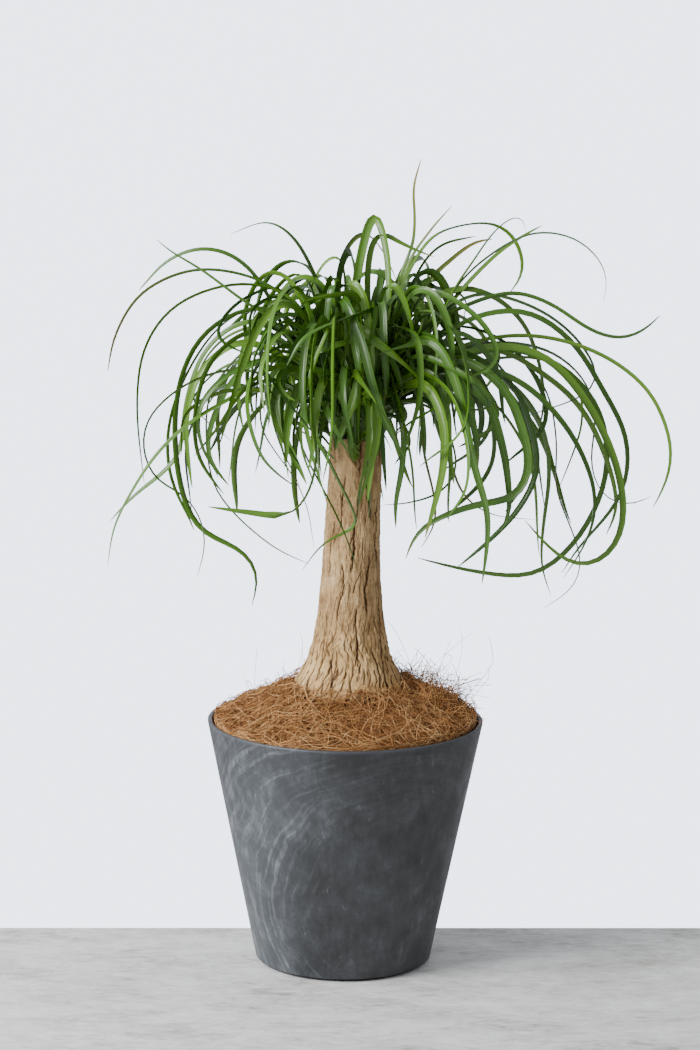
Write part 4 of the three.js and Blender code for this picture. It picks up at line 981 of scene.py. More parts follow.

# %% [markdown]
# ## Leaves
# Each leaf is a strap up to 8 mm wide and 400 mm long, folded to a shallow V along its
# midrib, that climbs out of its shoot, bends over under its own weight and twists. Curves with a
# bevel could make them, but the solids and these skins have to follow one rule: a midrib through a
# few points, and a turn of the blade round it. The leaves seen against the light are listed one by one, and
# the rest are strewn round the crown by steps of irrational shares, which never bunch. Each leaf is
# nudged aside until it clears the others.

# %% Leaves listed one by one
# Width, turn about the midrib at the foot, further turn along the leaf, and the midrib's points in mm
HAND_LEAVES = [
    (3.6, 20, 30, ((-45, 4, 655), (-85, 4, 694), (-150, 6, 706), (-205, 8, 683), (-233, 10, 640),
     (-241, 10, 602))),
    (4.2, -20, -30, ((-60, 12, 636), (-88, 18, 690), (-116, 24, 717), (-150, 30, 724), (-184, 36, 710),
     (-212, 40, 680))),
    (4.6, 25, 10, ((-66, -10, 648), (-108, -18, 680), (-145, -24, 708), (-176, -28, 727), (-190, -30, 739))),
    (4.6, -30, 30, ((-20, 14, 650), (-34, 20, 696), (-56, 28, 735), (-84, 36, 751), (-120, 42, 738))),
    (5.2, 30, -20, ((-46, -4, 668), (-100, -8, 694), (-165, -14, 677), (-201, -16, 634), (-210, -18, 572),
     (-203, -18, 493))),
    (6.2, 30, 30, ((-55, 2, 655), (-98, 4, 668), (-146, 4, 640), (-170, 2, 585), (-171, 0, 510),
     (-151, -4, 448), (-106, -8, 426), (-88, -12, 400), (-95, -14, 370))),
    (6, -30, -20, ((-58, 18, 640), (-104, 24, 652), (-144, 28, 622), (-163, 28, 570), (-169, 26, 520),
     (-187, 24, 497), (-216, 22, 474), (-240, 20, 448))),
    (6.2, 40, 20, ((-60, -14, 634), (-104, -20, 652), (-144, -26, 623), (-160, -28, 575), (-159, -30, 532),
     (-147, -32, 508), (-132, -34, 488))),
    (6, -40, -30, ((-62, -10, 618), (-108, -14, 636), (-147, -16, 606), (-161, -16, 560), (-159, -18, 520),
     (-155, -20, 490))),
    (5.4, 30, -40, ((-52, -24, 590), (-104, -32, 612), (-156, -38, 600), (-195, -42, 568), (-203, -46, 535),
     (-190, -50, 504), (-163, -54, 490), (-146, -56, 468), (-140, -58, 440), (-148, -60, 408))),
    (4.8, -30, 30, ((-74, -34, 604), (-125, -46, 584), (-163, -55, 563), (-193, -60, 536), (-216, -64, 504),
     (-238, -68, 462), (-245, -70, 422))),
    (7, 40, 10, ((-60, -36, 612), (-86, -56, 610), (-112, -74, 584), (-128, -86, 560), (-150, -100, 535))),
    (5, -20, -20, ((-50, 40, 622), (-96, 60, 625), (-138, 78, 578), (-146, 84, 545), (-141, 84, 484),
     (-120, 76, 451), (-76, 60, 416), (-38, 50, 400))),
    (8, 50, -60, ((-50, -20, 630), (-92, -30, 642), (-122, -36, 612), (-126, -38, 575), (-112, -38, 532),
     (-90, -36, 508), (-64, -32, 490))),
    (2.6, 10, 20, ((-54, -20, 622), (-92, -32, 632), (-110, -38, 600), (-112, -40, 560), (-92, -40, 528),
     (-70, -38, 500), (-54, -36, 465), (-46, -34, 425))),
    (7, 60, 20, ((-30, -50, 648), (-50, -76, 648), (-62, -92, 612), (-64, -96, 572), (-58, -92, 545),
     (-46, -84, 524))),
    (9, 70, 10, ((-20, -50, 652), (-30, -90, 668), (-36, -120, 626), (-35, -126, 580), (-30, -120, 540),
     (-38, -122, 504), (-56, -122, 482), (-92, -120, 484), (-135, -118, 489))),
    (8, 80, -10, ((-12, -54, 660), (-18, -96, 676), (-21, -130, 632), (-21, -138, 580), (-24, -134, 545),
     (-30, -124, 515))),
    (7.4, 60, -40, ((-14, -36, 655), (-14, -62, 691), (0, -100, 652), (8, -116, 615), (22, -124, 572),
     (42, -122, 535))),
    (6.4, 60, 30, ((-30, -44, 590), (-36, -56, 562), (-21, -69, 532), (-5, -70, 500), (10, -68, 466),
     (0, -66, 456), (-24, -66, 443), (-45, -66, 416))),
    (6, 80, 10, ((20, -34, 578), (20, -54, 560), (16, -62, 522), (11, -60, 488), (10, -58, 466))),
    (5.4, 90, -10, ((17, -40, 584), (20, -62, 566), (19, -70, 528), (22, -72, 490), (21, -70, 470))),
    (4, 60, 10, ((-38, -48, 592), (-46, -66, 565), (-34, -78, 534), (-12, -84, 496), (7, -86, 460),
     (23, -86, 418))),
    (7, 70, 60, ((2, 6, 640), (8, 6, 705), (23, 0, 765), (36, -16, 730), (39, -26, 690), (38, -34, 645),
     (34, -44, 600))),
    (9, 80, -20, ((-12, -4, 660), (-12, -2, 700), (-3, 6, 728), (4, 24, 712), (6, 40, 680), (4, 56, 640))),
    (5.4, -40, 40, ((-4, 16, 660), (-8, 20, 715), (-22, 24, 719), (-38, 28, 696), (-47, 34, 662))),
    (6.4, 40, -50, ((24, -8, 640), (20, -8, 700), (24, -8, 738), (34, -10, 753), (50, -14, 745),
     (68, -18, 736), (88, -22, 728))),
    (3.6, 30, 30, ((-10, 24, 660), (-4, 30, 715), (10, 34, 741), (27, 38, 750), (42, 42, 742), (58, 46, 722),
     (74, 50, 692))),
    (6, 50, -20, ((-2, 8, 640), (0, 2, 690), (12, -4, 708), (24, -10, 711), (38, -18, 700), (48, -26, 672),
     (52, -34, 640))),
    (6.6, -40, 20, ((-15, 10, 640), (-24, 14, 685), (-44, 18, 699), (-60, 22, 692), (-74, 26, 672),
     (-82, 30, 640), (-84, 32, 600))),
    (8.4, 50, -30, ((-45, -20, 640), (-32, -26, 672), (-10, -32, 696), (4, -38, 700), (14, -46, 680),
     (20, -56, 640), (22, -66, 600))),
    (3.6, 10, 20, ((44, 4, 640), (50, 4, 700), (63, 4, 736), (65, 4, 765), (63, 2, 795), (70, 0, 824))),
    (3.4, 10, -20, ((46, 14, 640), (56, 18, 706), (78, 22, 743), (101, 26, 770))),
    (6, -40, 40, ((44, 24, 640), (54, 34, 690), (80, 44, 735), (110, 52, 748), (142, 56, 750), (164, 58, 736),
     (174, 60, 712), (172, 60, 694), (160, 60, 678))),
    (5.4, -30, -20, ((50, 18, 650), (62, 24, 705), (86, 30, 738), (124, 36, 750))),
    (3.6, 20, 30, ((62, 30, 640), (78, 36, 690), (102, 42, 715), (124, 46, 731), (143, 50, 735))),
    (4.8, 30, -30, ((72, -4, 620), (102, -6, 687), (120, -8, 716), (140, -10, 746), (158, -10, 762),
     (170, -12, 763), (173, -12, 750))),
    (5.4, -20, 30, ((66, 4, 620), (98, 6, 680), (128, 8, 715), (176, 12, 744), (218, 14, 742), (246, 16, 722),
     (257, 18, 698), (253, 18, 676))),
    (4, 20, 20, ((72, 10, 630), (108, 14, 680), (146, 18, 720), (175, 20, 741), (197, 22, 753))),
    (4.8, -30, -30, ((62, -10, 640), (108, -14, 672), (160, -16, 690), (200, -18, 680), (240, -20, 655),
     (270, -22, 647), (294, -24, 656), (309, -24, 671))),
    (6.6, 30, 20, ((58, 14, 640), (94, 20, 684), (136, 26, 683), (172, 32, 655), (190, 36, 615),
     (197, 38, 570), (190, 38, 535))),
    (6.4, -40, -20, ((40, 26, 640), (66, 38, 690), (96, 46, 692), (122, 52, 662), (138, 56, 625),
     (146, 58, 580), (146, 60, 545))),
    (6, 50, 30, ((48, 34, 640), (66, 50, 684), (84, 60, 674), (96, 66, 645), (100, 70, 600), (100, 72, 560))),
    (6.2, 30, 20, ((66, 0, 620), (120, 0, 660), (176, -2, 668), (222, -4, 638), (252, -6, 592),
     (277, -8, 545), (277, -8, 495), (258, -8, 462), (232, -8, 432), (216, -8, 405))),
    (5.4, -30, -20, ((70, -6, 612), (130, -10, 640), (190, -14, 645), (250, -18, 628), (296, -20, 594),
     (318, -22, 550), (321, -22, 518), (314, -22, 494), (305, -22, 476))),
    (6.4, 40, 30, ((70, -14, 604), (136, -24, 636), (192, -32, 628), (232, -38, 588), (262, -42, 532),
     (274, -44, 478), (266, -46, 440), (238, -48, 420), (208, -48, 432), (176, -48, 466))),
    (5.8, -40, -20, ((72, 8, 600), (140, 12, 628), (196, 16, 602), (236, 18, 565), (262, 20, 512),
     (272, 20, 468), (262, 20, 440))),
    (6.8, 40, -30, ((68, -24, 600), (120, -38, 618), (172, -50, 602), (215, -58, 560), (240, -62, 510),
     (243, -62, 470), (230, -62, 436), (214, -60, 410))),
    (6, -30, 20, ((66, 20, 600), (116, 34, 612), (168, 44, 588), (200, 50, 545), (209, 52, 495),
     (204, 52, 440), (203, 52, 398), (214, 52, 366))),
    (6.8, 60, 30, ((58, -30, 610), (108, -54, 628), (150, -74, 604), (168, -84, 568), (177, -88, 528),
     (164, -88, 497), (125, -86, 488), (86, -82, 472), (66, -80, 455), (58, -78, 432))),
    (6, -50, -30, ((60, -22, 618), (110, -38, 632), (158, -52, 600), (178, -58, 556), (184, -60, 515),
     (168, -60, 478), (140, -60, 446), (105, -60, 416))),
    (5.6, 40, 40, ((70, 12, 596), (140, 20, 628), (206, 26, 614), (250, 28, 570), (262, 28, 515),
     (252, 28, 468), (226, 28, 424), (190, 28, 396), (150, 28, 396), (108, 28, 403), (72, 28, 412))),
    (5.6, -30, 20, ((66, -2, 592), (128, -4, 618), (190, -6, 622), (226, -8, 600), (233, -8, 560),
     (224, -8, 526), (210, -8, 488))),
    (4.8, 30, -20, ((74, 26, 612), (140, 44, 630), (200, 58, 622), (240, 66, 590), (252, 70, 550),
     (248, 70, 505), (262, 72, 470), (290, 74, 460), (311, 74, 470))),
    (6.6, 70, -50, ((62, -8, 600), (96, -12, 612), (118, -16, 590), (126, -18, 566), (119, -20, 552),
     (106, -22, 548))),
    (7, 50, 20, ((58, -34, 600), (100, -58, 606), (132, -76, 590), (148, -86, 548), (155, -90, 508),
     (156, -90, 478), (148, -88, 460))),
    (7.2, 70, 10, ((44, -46, 630), (74, -82, 650), (95, -104, 610), (104, -114, 566), (114, -118, 522),
     (126, -120, 482), (126, -120, 444), (122, -118, 408))),
    (8, 80, -10, ((36, -48, 640), (58, -88, 655), (78, -112, 612), (88, -124, 570), (93, -128, 534),
     (93, -128, 512))),
    (9, 85, 10, ((32, -50, 618), (50, -84, 622), (62, -104, 590), (66, -110, 560), (66, -110, 548))),
    (8, 60, -20, ((50, -36, 606), (80, -60, 612), (95, -74, 580), (98, -80, 545), (104, -82, 508))),
    (7.6, 50, 30, ((54, -30, 596), (96, -50, 606), (122, -64, 572), (126, -70, 528), (118, -70, 490),
     (106, -70, 448))),
    (6, -30, 30, ((48, -24, 580), (84, -34, 574), (104, -40, 540), (106, -42, 512), (90, -44, 492),
     (60, -46, 482), (36, -46, 480))),
    (5.4, 60, 20, ((40, -36, 584), (54, -54, 560), (54, -62, 524), (48, -64, 486), (48, -64, 460))),
    (2.8, 20, 20, ((70, 20, 600), (150, 34, 624), (200, 44, 590), (216, 48, 530), (216, 50, 480),
     (232, 52, 440), (245, 54, 402), (237, 56, 373), (206, 58, 351))),
    (3, -20, 20, ((50, 40, 640), (72, 60, 640), (74, 70, 580), (76, 72, 520), (88, 74, 470), (90, 74, 440),
     (76, 74, 414))),
    (3, 20, -20, ((60, 40, 610), (96, 60, 610), (110, 70, 560), (112, 72, 510), (128, 72, 466),
     (160, 72, 445), (204, 72, 440))),
]
BUD_LEAVES = [
    (5.0, 60, 10, ((4, -46, 552), (-2, -58, 556), (-10, -66, 544))),
    (5.4, 70, -20, ((12, -46, 550), (20, -56, 554), (27, -62, 544))),
    (4.6, 20, 30, ((8, -40, 558), (8, -45, 575), (10, -53, 588))),
    (4.8, -20, 20, ((-2, -38, 556), (-7, -44, 568), (-13, -54, 574))),
]
print(len(HAND_LEAVES), "leaves set by hand and", len(BUD_LEAVES), "on the bud")

# %% Leaves strewn by rule
SHARES = (0.8191725134, 0.6710436067, 0.5497004779, 0.4503045553, 0.3688747780, 0.3021704617)
GOLDEN_TURN = 0.6180339887
FILL_LEAVES, FILL_START, FILL_FOOT, FILL_LOWEST = 92, 34, 565, 430


def golden(k, start=0.0):
    """Step k round the crown, from 0 to 1 for a whole turn: (start + k golden turns) mod 1."""
    return (start + k * GOLDEN_TURN) % 1


def six_draws(k, start):
    """Six numbers from 0 to 1 for leaf k: (start + (k+1) share) mod 1 for each of the SHARES."""
    return [(start + (k + 1) * share) % 1 for share in SHARES]


def crown_point(radius, heading, height):
    """A point at a radius from the crown's axis, on a heading in radians."""
    return (CROWN_X + radius * math.cos(heading), radius * math.sin(heading), height)


def fill_leaf(k):
    """Leaf k of the fill: its bearing is k golden turns, and six draws give how young, far, low,
    swayed, rolled and broad it is. Young leaves rise steeply and hang close.

    Tops lie 578 to 718 mm high and reaches are 70 to 235 mm, less in front and more behind. The tip
    hangs 40 to 190 mm below the top, and the heading turns by up to 35 degrees either way, as
    share^2.
    """
    angle = 2 * math.pi * golden(k, 0.13)
    front, back = max(0, -math.sin(angle)) ** 2, max(0, math.sin(angle))
    young, far, low, sway, roll, broad = six_draws(k, 0.5)
    top = 578 + 140 * young ** 1.2
    reach = (70 + 165 * far) * (1 - 0.35 * young) * (1 - 0.25 * front + 0.35 * back)
    drop = 40 + 150 * low * (0.4 + 0.6 * far) * (1 - 0.35 * front)

    def at(out, height, share):
        heading = angle + math.radians(70 * (sway - 0.5)) * share * share
        return crown_point(FILL_START + (reach - FILL_START) * out, heading, height)

    path = (at(0.1, FILL_FOOT + (top - FILL_FOOT) * 0.55, 0.2),
            at(0.34, FILL_FOOT + (top - FILL_FOOT) * 0.93, 0.4), at(0.62, top - 0.02 * drop, 0.6),
            at(0.88, top - 0.4 * drop, 0.8), at(1, max(top - drop, FILL_LOWEST), 1))
    return (4.6 + 3.4 * broad, 110 * (roll - 0.5), 90 * (sway - 0.5), path)


print("first strewn leaf", fill_leaf(0)[0], "mm wide")

# %% Shoots
SHOOT_ANGLES = {"shoot_right": 5, "shoot_back": 77, "shoot_back_left": 149, "shoot_front_left": 216,
                "shoot_front": 300}
STEM_RADIUS, STEM_SWELL, BUD_RADIUS = 7.2, 1.6, 4.4
STEM_FOOT, STEM_TIP = (18, 531), (30, 590)   # reach from the crown's axis, and height

stems = [dict(name=name, radius=STEM_RADIUS, swell=STEM_SWELL,
              foot=np.array(crown_point(STEM_FOOT[0], math.radians(bearing), STEM_FOOT[1])),
              tip=np.array(crown_point(STEM_TIP[0], math.radians(bearing), STEM_TIP[1])))
         for name, bearing in SHOOT_ANGLES.items()]
stems.append(dict(name="shoot_bud", radius=BUD_RADIUS, swell=1.0,
                  foot=np.array([7.5, -19.0, 521.0]), tip=np.array([6.5, -35.0, 538.0])))


def nearest_shoot(point):
    """The shoot whose bearing from the crown's axis is nearest to the point's."""
    bearing = math.degrees(math.atan2(point[1], point[0] - CROWN_X))
    return int(np.argmin([abs((bearing - a + 180) % 360 - 180) for a in SHOOT_ANGLES.values()]))


print("shoots:", [s["name"] for s in stems])

# %% One blade
FINE_STEPS, LENGTH_STEPS, TIP_HALF_WIDTH, SOLID_POWER = 44, 201, 0.3, 1.7
TURN_SHARE = 0.25   # the blade takes up its roll over this share of its length


def even_path(knots, steps):
    """Points at even distances along the curve through the knots, by its length at 200 even shares."""
    t = np.linspace(0, 1, LENGTH_STEPS)
    line = smooth_path(knots, t)
    run = np.concatenate([[0], np.cumsum(np.linalg.norm(np.diff(line, axis=0), axis=1))])
    return smooth_path(knots, np.interp(np.linspace(0, 1, steps + 1) * run[-1], run, t))


def blade(leaf, stem, turn=0.0, size=1.0):
    """Midrib, direction across and half width at FINE_STEPS + 1 stations of a leaf.

    The path is turned about Z at its root and resized. Across is the level direction square to the
    leaf's heading, turned about the midrib by (roll + twist s) min(4s, 1) at share s, and the half
    width is w/2 (1 - s^1.7) min(0.55 + 2.5 s, 1) + TIP_HALF_WIDTH.
    """
    width, roll, twist, path = leaf
    path = np.array(path, float)
    foot, tip = stem["foot"], stem["tip"]
    out = np.array([path[0, 0] - tip[0], path[0, 1] - tip[1], 0.0])
    away = np.linalg.norm(out)
    rise = math.atan2(path[0, 2] - (foot[2] + tip[2]) / 2, away) / (math.pi / 2)
    root = foot + (tip - foot) * (0.25 + 0.7 * min(max(rise, 0), 1)) + out / away * 0.45 * stem["radius"]
    c, s = math.cos(math.radians(turn)), math.sin(math.radians(turn))
    q = (path - root) * size
    path = root + np.stack([q[:, 0] * c - q[:, 1] * s, q[:, 0] * s + q[:, 1] * c, q[:, 2]], 1)
    midrib = even_path(np.vstack([root, path]), FINE_STEPS)
    last = np.clip(np.arange(FINE_STEPS + 1) + 1, 0, FINE_STEPS)
    first = np.clip(np.arange(FINE_STEPS + 1) - 1, 0, FINE_STEPS)
    along = midrib[last] - midrib[first]
    along /= np.linalg.norm(along, axis=1, keepdims=True)
    middle = midrib[FINE_STEPS // 2]
    level = np.array([-(middle[1] - root[1]), middle[0] - root[0], 0.0])
    level = level / np.linalg.norm(level)
    side = level - (along @ level)[:, None] * along
    side /= np.linalg.norm(side, axis=1, keepdims=True)
    share = np.linspace(0, 1, FINE_STEPS + 1)
    spin = (np.radians(roll + twist * share) * np.minimum(share / TURN_SHARE, 1))[:, None]
    across = side * np.cos(spin) + np.cross(along, side) * np.sin(spin)
    half = 0.5 * width * (1 - share ** SOLID_POWER) * np.minimum(0.55 + 2.5 * share, 1) + TIP_HALF_WIDTH
    return midrib, across, half


first_leaf = blade(HAND_LEAVES[0], stems[nearest_shoot(HAND_LEAVES[0][3][0])])
print("blade of the first leaf ends at", first_leaf[0][-1])

# %% [markdown]
# ## Room for each leaf
# Real leaves push each other aside, so none runs through another. Testing the meshes themselves for
# crossings would be exact but slow. A chain of long thin boxes round each blade is enough, and two
# boxes are apart where an axis of either parts them.

# %% Room for each blade
STATION_SPACING, FEWEST_STEPS, MOST_STEPS = 42.0, 5, 10
LEAF_THICKNESS, CLEARANCE = 1.3, 0.35


def blade_boxes(midrib, across, half):
    """A long thin box round each stretch of a blade: middles, axes, half sizes and shares along it."""
    length = np.linalg.norm(midrib[1] - midrib[0]) * FINE_STEPS
    steps = int(min(max(math.floor(length / STATION_SPACING + 0.5), FEWEST_STEPS), MOST_STEPS))
    kept = np.floor(np.arange(steps + 1) * FINE_STEPS / steps + 0.5).astype(int)
    p, a, h = midrib[kept], across[kept], half[kept]
    chord = p[1:] - p[:-1]
    run = np.linalg.norm(chord, axis=1)
    along = chord / run[:, None]
    side = a[1:] + a[:-1]
    side = side - (side * along).sum(1, keepdims=True) * along
    side /= np.linalg.norm(side, axis=1, keepdims=True)
    normal = np.cross(along, side)
    wide = np.maximum(h[1:], h[:-1])
    tilt = np.maximum(np.abs((a[1:] * normal).sum(1)), np.abs((a[:-1] * normal).sum(1)))
    sizes = np.stack([run / 2 + 0.4, wide, 0.5 * LEAF_THICKNESS + 0.7 * wide * tilt], 1) + CLEARANCE
    return (p[1:] + p[:-1]) / 2, np.stack([along, side, normal], 1), sizes, kept[:-1] / FINE_STEPS


def stem_box(stem):
    """A box round a stem: its middle, axes and half sizes."""
    along = stem["tip"] - stem["foot"]
    run = np.linalg.norm(along)
    along = along / run
    side = np.cross(along, [0, 0, 1.0])
    side /= np.linalg.norm(side)
    wide = stem["radius"] * stem["swell"] + CLEARANCE
    return (stem["foot"] + stem["tip"]) / 2, [along, side, np.cross(along, side)], [run / 2 + 6, wide, wide]


def meetings(a, b):
    """Pairs of boxes that no face axis of either one parts: |axis . between| <= own size + the
    other's sizes along that axis."""
    (ma, xa, sa), (mb, xb, sb) = a, b
    between = mb[None] - ma[:, None]
    close = np.linalg.norm(between, axis=2) < np.linalg.norm(sa, axis=1)[:, None] + np.linalg.norm(sb, axis=1)
    i, j = np.nonzero(close)
    d, e, f, p, q = between[i, j], xa[i], xb[j], sa[i], sb[j]
    cross = np.abs(np.einsum("nij,nkj->nik", e, f))
    parted = (np.abs(np.einsum("nij,nj->ni", e, d)) > p + np.einsum("nik,nk->ni", cross, q)).any(1)
    parted |= (np.abs(np.einsum("nkj,nj->nk", f, d)) > q + np.einsum("nik,ni->nk", cross, p)).any(1)
    return i[~parted], j[~parted]


print("the first leaf has", len(blade_boxes(*first_leaf)[0]), "boxes")

# %% Place the leaves
TRIALS, FOOT_SHARE, NUDGE, SHORTENING = 31, 0.12, 3.0, 0.008
BUD = len(stems) - 1
BY_HAND, BY_RULE, SCENE_ONLY = 0.0, 0.6, 1.0   # how freely a blade's end may hang


def placed_leaves():
    """Each leaf in turn is tried as it stands, then turned 3 degrees further to either side and made
    0.8% shorter each time, until it clears every other shoot and, past its foot, its own shoot."""
    leaves = [(leaf, nearest_shoot(leaf[3][0]), BY_HAND) for leaf in HAND_LEAVES]
    leaves += [(leaf, BUD, BY_HAND) for leaf in BUD_LEAVES]
    leaves += [(leaf, nearest_shoot(leaf[3][0]), BY_RULE) for leaf in map(fill_leaf, range(FILL_LEAVES))]
    middles, axes, sizes = map(np.array, zip(*map(stem_box, stems)))
    owners, shares = np.arange(len(stems)), np.zeros(len(stems))
    placed = [[] for _ in stems]
    for leaf, shoot, loose in leaves:
        best = None
        for trial in range(TRIALS):
            effort = (trial + 1) // 2
            turn = (1 if trial % 2 else -1) * NUDGE * effort
            shape = blade(leaf, stems[shoot], turn, 1 - SHORTENING * effort)
            *boxes, along = blade_boxes(*shape)
            i, j = meetings(boxes, (middles, axes, sizes))
            other = owners[j] != shoot
            touches_own = (~other & (np.minimum(along[i], shares[j]) > FOOT_SHARE)).any()
            if other.any():
                continue
            if best is None or not touches_own:
                best = (shape, boxes, along, touches_own)
            if not best[3]:
                break
        if best is None:
            continue
        shape, boxes, along, _ = best
        placed[shoot].append((shape, leaf[0], loose))
        middles, axes, sizes = (np.concatenate(pair) for pair in zip((middles, axes, sizes), boxes))
        owners, shares = np.append(owners, np.full(len(along), shoot)), np.append(shares, along)
    return placed


leaves_of = placed_leaves()
print("leaves on each shoot:", {s["name"]: len(b) for s, b in zip(stems, leaves_of)})

# %% [markdown]
# ## Skin of a leaf
# Each blade gets a closed section of eight points: five on its upper face, which dips to the midrib,
# and three below. The blade ends in a point. A flat strip with a Solidify modifier would be
# simpler, but it has no keel and ends in a blunt edge. Where a leaf leaves its shoot it is cupped
# round the stem, so the fold there is deeper.

# %% Hanging ends
SWAY, WAVE, TUCK, ROLL = 30, 3, 26, 100   # mm, mm, mm and degrees


def limp(midrib, across, up, loose, draws):
    """A loose blade's end sways by 15 mm either way and tucks up to 26 mm in under the crown.

    The sway grows as share^2 and the tuck as the square of the last half. A wave 3 mm deep runs
    along the blade, and the blade rolls about its midrib by up to 50 degrees towards its end.
    """
    share = np.linspace(0, 1, len(midrib))[:, None]
    wave = WAVE * share * np.sin(2 * np.pi * (1.6 * share + draws[1]))
    sway = loose * (SWAY * (draws[0] - 0.5) * share ** 2 + wave)
    inward = np.array([CROWN_X, 0, 0]) - midrib * [1, 1, 0]
    inward /= np.linalg.norm(inward, axis=1, keepdims=True)
    tuck = loose * TUCK * draws[2] ** 1.5 * ramp(share, 0.5, 1.0) ** 2
    roll = loose * np.radians(ROLL * (draws[1] - 0.5)) * share ** 2
    rolled = across * np.cos(roll) + up * np.sin(roll)
    return midrib + sway * across + tuck * inward, rolled, up * np.cos(roll) - across * np.sin(roll)


print("loose ends sway by up to", SWAY / 2, "mm")

# %% Section of a blade
FULL_POWER = 4.6              # a solid's blade narrows sooner than a real one does
SLIM_HALVES = (1.2, 1.8)      # half widths in mm between a slim leaf and a broad one
SMOOTHINGS = 3
SECTION_ACROSS = np.array([-1, -0.52, 0, 0.52, 1, 0.55, 0, -0.55])   # in half widths
SECTION_UNDER = np.array([0, 0, 0, 0, 0, 1, 1.25, 1])                # in thicknesses
AROUND = len(SECTION_ACROSS)


def blade_skin(shape, loose, draws):
    """Points (stations, 8, 3) round a blade, with the share along it and across it.

    A broad blade keeps its width nearly to the tip: 1 - share^4.6 takes the place of 1 - share^1.7.
    The course is rounded by taking, three times over, a quarter of each neighbour. At share u
    across, a point lies u half widths from the midrib and fold (|u|^1.4 - 0.45) half widths up. The
    lower face lies one thickness under the upper one, thinning to nothing at the edges.
    """
    midrib, across, half = shape
    stations = len(midrib)
    along = np.gradient(midrib, axis=0)
    along /= np.linalg.norm(along, axis=1, keepdims=True)
    up = np.cross(along, across)
    share = np.linspace(0, 1, stations)
    fuller = (1.02 - share ** FULL_POWER) / (1.02 - share ** SOLID_POWER)
    broad = ramp(half.max(), *SLIM_HALVES)
    half = half * (1 + 0.12 * broad) * (1 + (fuller - 1) * broad) + 0.25 * ramp(1 - share, 0, 0.1)
    midrib = midrib.copy()
    for _ in range(SMOOTHINGS):
        midrib[2:-1] = 0.25 * midrib[1:-2] + 0.5 * midrib[2:-1] + 0.25 * midrib[3:]
    midrib, across, up = limp(midrib, across, up, loose, draws)
    fold = 0.34 + 0.5 * np.clip(1 - share / 0.12, 0, 1)
    body = LEAF_THICKNESS * (0.42 * (1 - share ** 3) + 0.10)
    dip = fold[:, None] * half[:, None] * (np.abs(SECTION_ACROSS) ** 1.4 - 0.45)
    drop = dip - SECTION_UNDER * body[:, None]
    aside = SECTION_ACROSS * half[:, None]
    points = midrib[:, None] + aside[..., None] * across[:, None] + drop[..., None] * up[:, None]
    return points, np.repeat(share, AROUND), np.tile(SECTION_ACROSS, stations)


print("section of a blade:", AROUND, "points")

# %% [markdown]
# ## Skin of a shoot
# The stem of a shoot is hidden in old leaf bases that wrap round it. Each base could be a leaf of its
# own, but at this size they show only as ridges that wind up the stem, so its radius carries them.
# A stem and its blades become one mesh, because they are one growth with one finish.

# %% Wrapped stem
STEM_SHAPE = np.array([[0, 1.0], [0.22, 1.0], [0.55, 1.0], [0.9, 0.9], [1.1, 0.5], [1.15, 0.04]])
BELLY = 2           # the point of the shape that swells, by 0.35 of the stem's swell
WRAPS, TURNS_UP, RIDGE = 5, 2.3, 1.4   # leaf bases round the stem, turns that they climb, and mm


def stem_skin(stem, rows=26, sides=40):
    """Points of a stem wrapped in leaf bases, with the share up it and the share across each base.

    It is the lathe form of its solid with ridges that wind up it: (5a/2pi + 2.3t) mod 1 is the share
    across a leaf base, and the radius grows by 1.4 mm from one side of the base to the other.
    """
    axis = stem["tip"] - stem["foot"]
    run = np.linalg.norm(axis)
    axis = axis / run
    side = np.cross(axis, [0.2, 0.1, 1.0])
    side /= np.linalg.norm(side)
    other = np.cross(axis, side)
    shape = STEM_SHAPE.copy()
    shape[BELLY, 1] += (stem["swell"] - 1) * 0.35
    t = np.linspace(0, shape[-1, 0], rows)
    angle = 2 * np.pi * np.arange(sides) / sides
    wrap = (WRAPS * angle[None] / (2 * np.pi) + TURNS_UP * t[:, None]) % 1
    ridge = (wrap - 0.5) * RIDGE * ramp(t, 0.15, 0.4)[:, None] * ramp(t, 1.15, 0.95)[:, None]
    reach = (np.interp(t, shape[:, 0], shape[:, 1]) * stem["radius"])[:, None] + ridge
    turned_out = np.cos(angle)[None, :, None] * side + np.sin(angle)[None, :, None] * other
    points = stem["foot"] + run * t[:, None, None] * axis + reach[..., None] * turned_out
    first, second, third = points[0, :3]
    if np.dot(np.cross(second - first, third - second), axis) < 0:
        points, wrap = points[:, ::-1], wrap[:, ::-1]
    return points, t, wrap


print("a stem is wrapped in", WRAPS, "leaf bases")

# %% One mesh for each shoot
BROAD_LEAF = 3.8            # mm: narrower leaves are withered further back
FOLD_EDGE = 52              # degrees: the fold at the blade's edge stays crisp
STEM_ALONG, STEM_TONE = 0.10, 0.5


def own_number(k, order, n, seed):
    """Number n of leaf k on a shoot, from 0 to 1 and the same on every run."""
    return scramble(np.array([k, order, n]), seed)


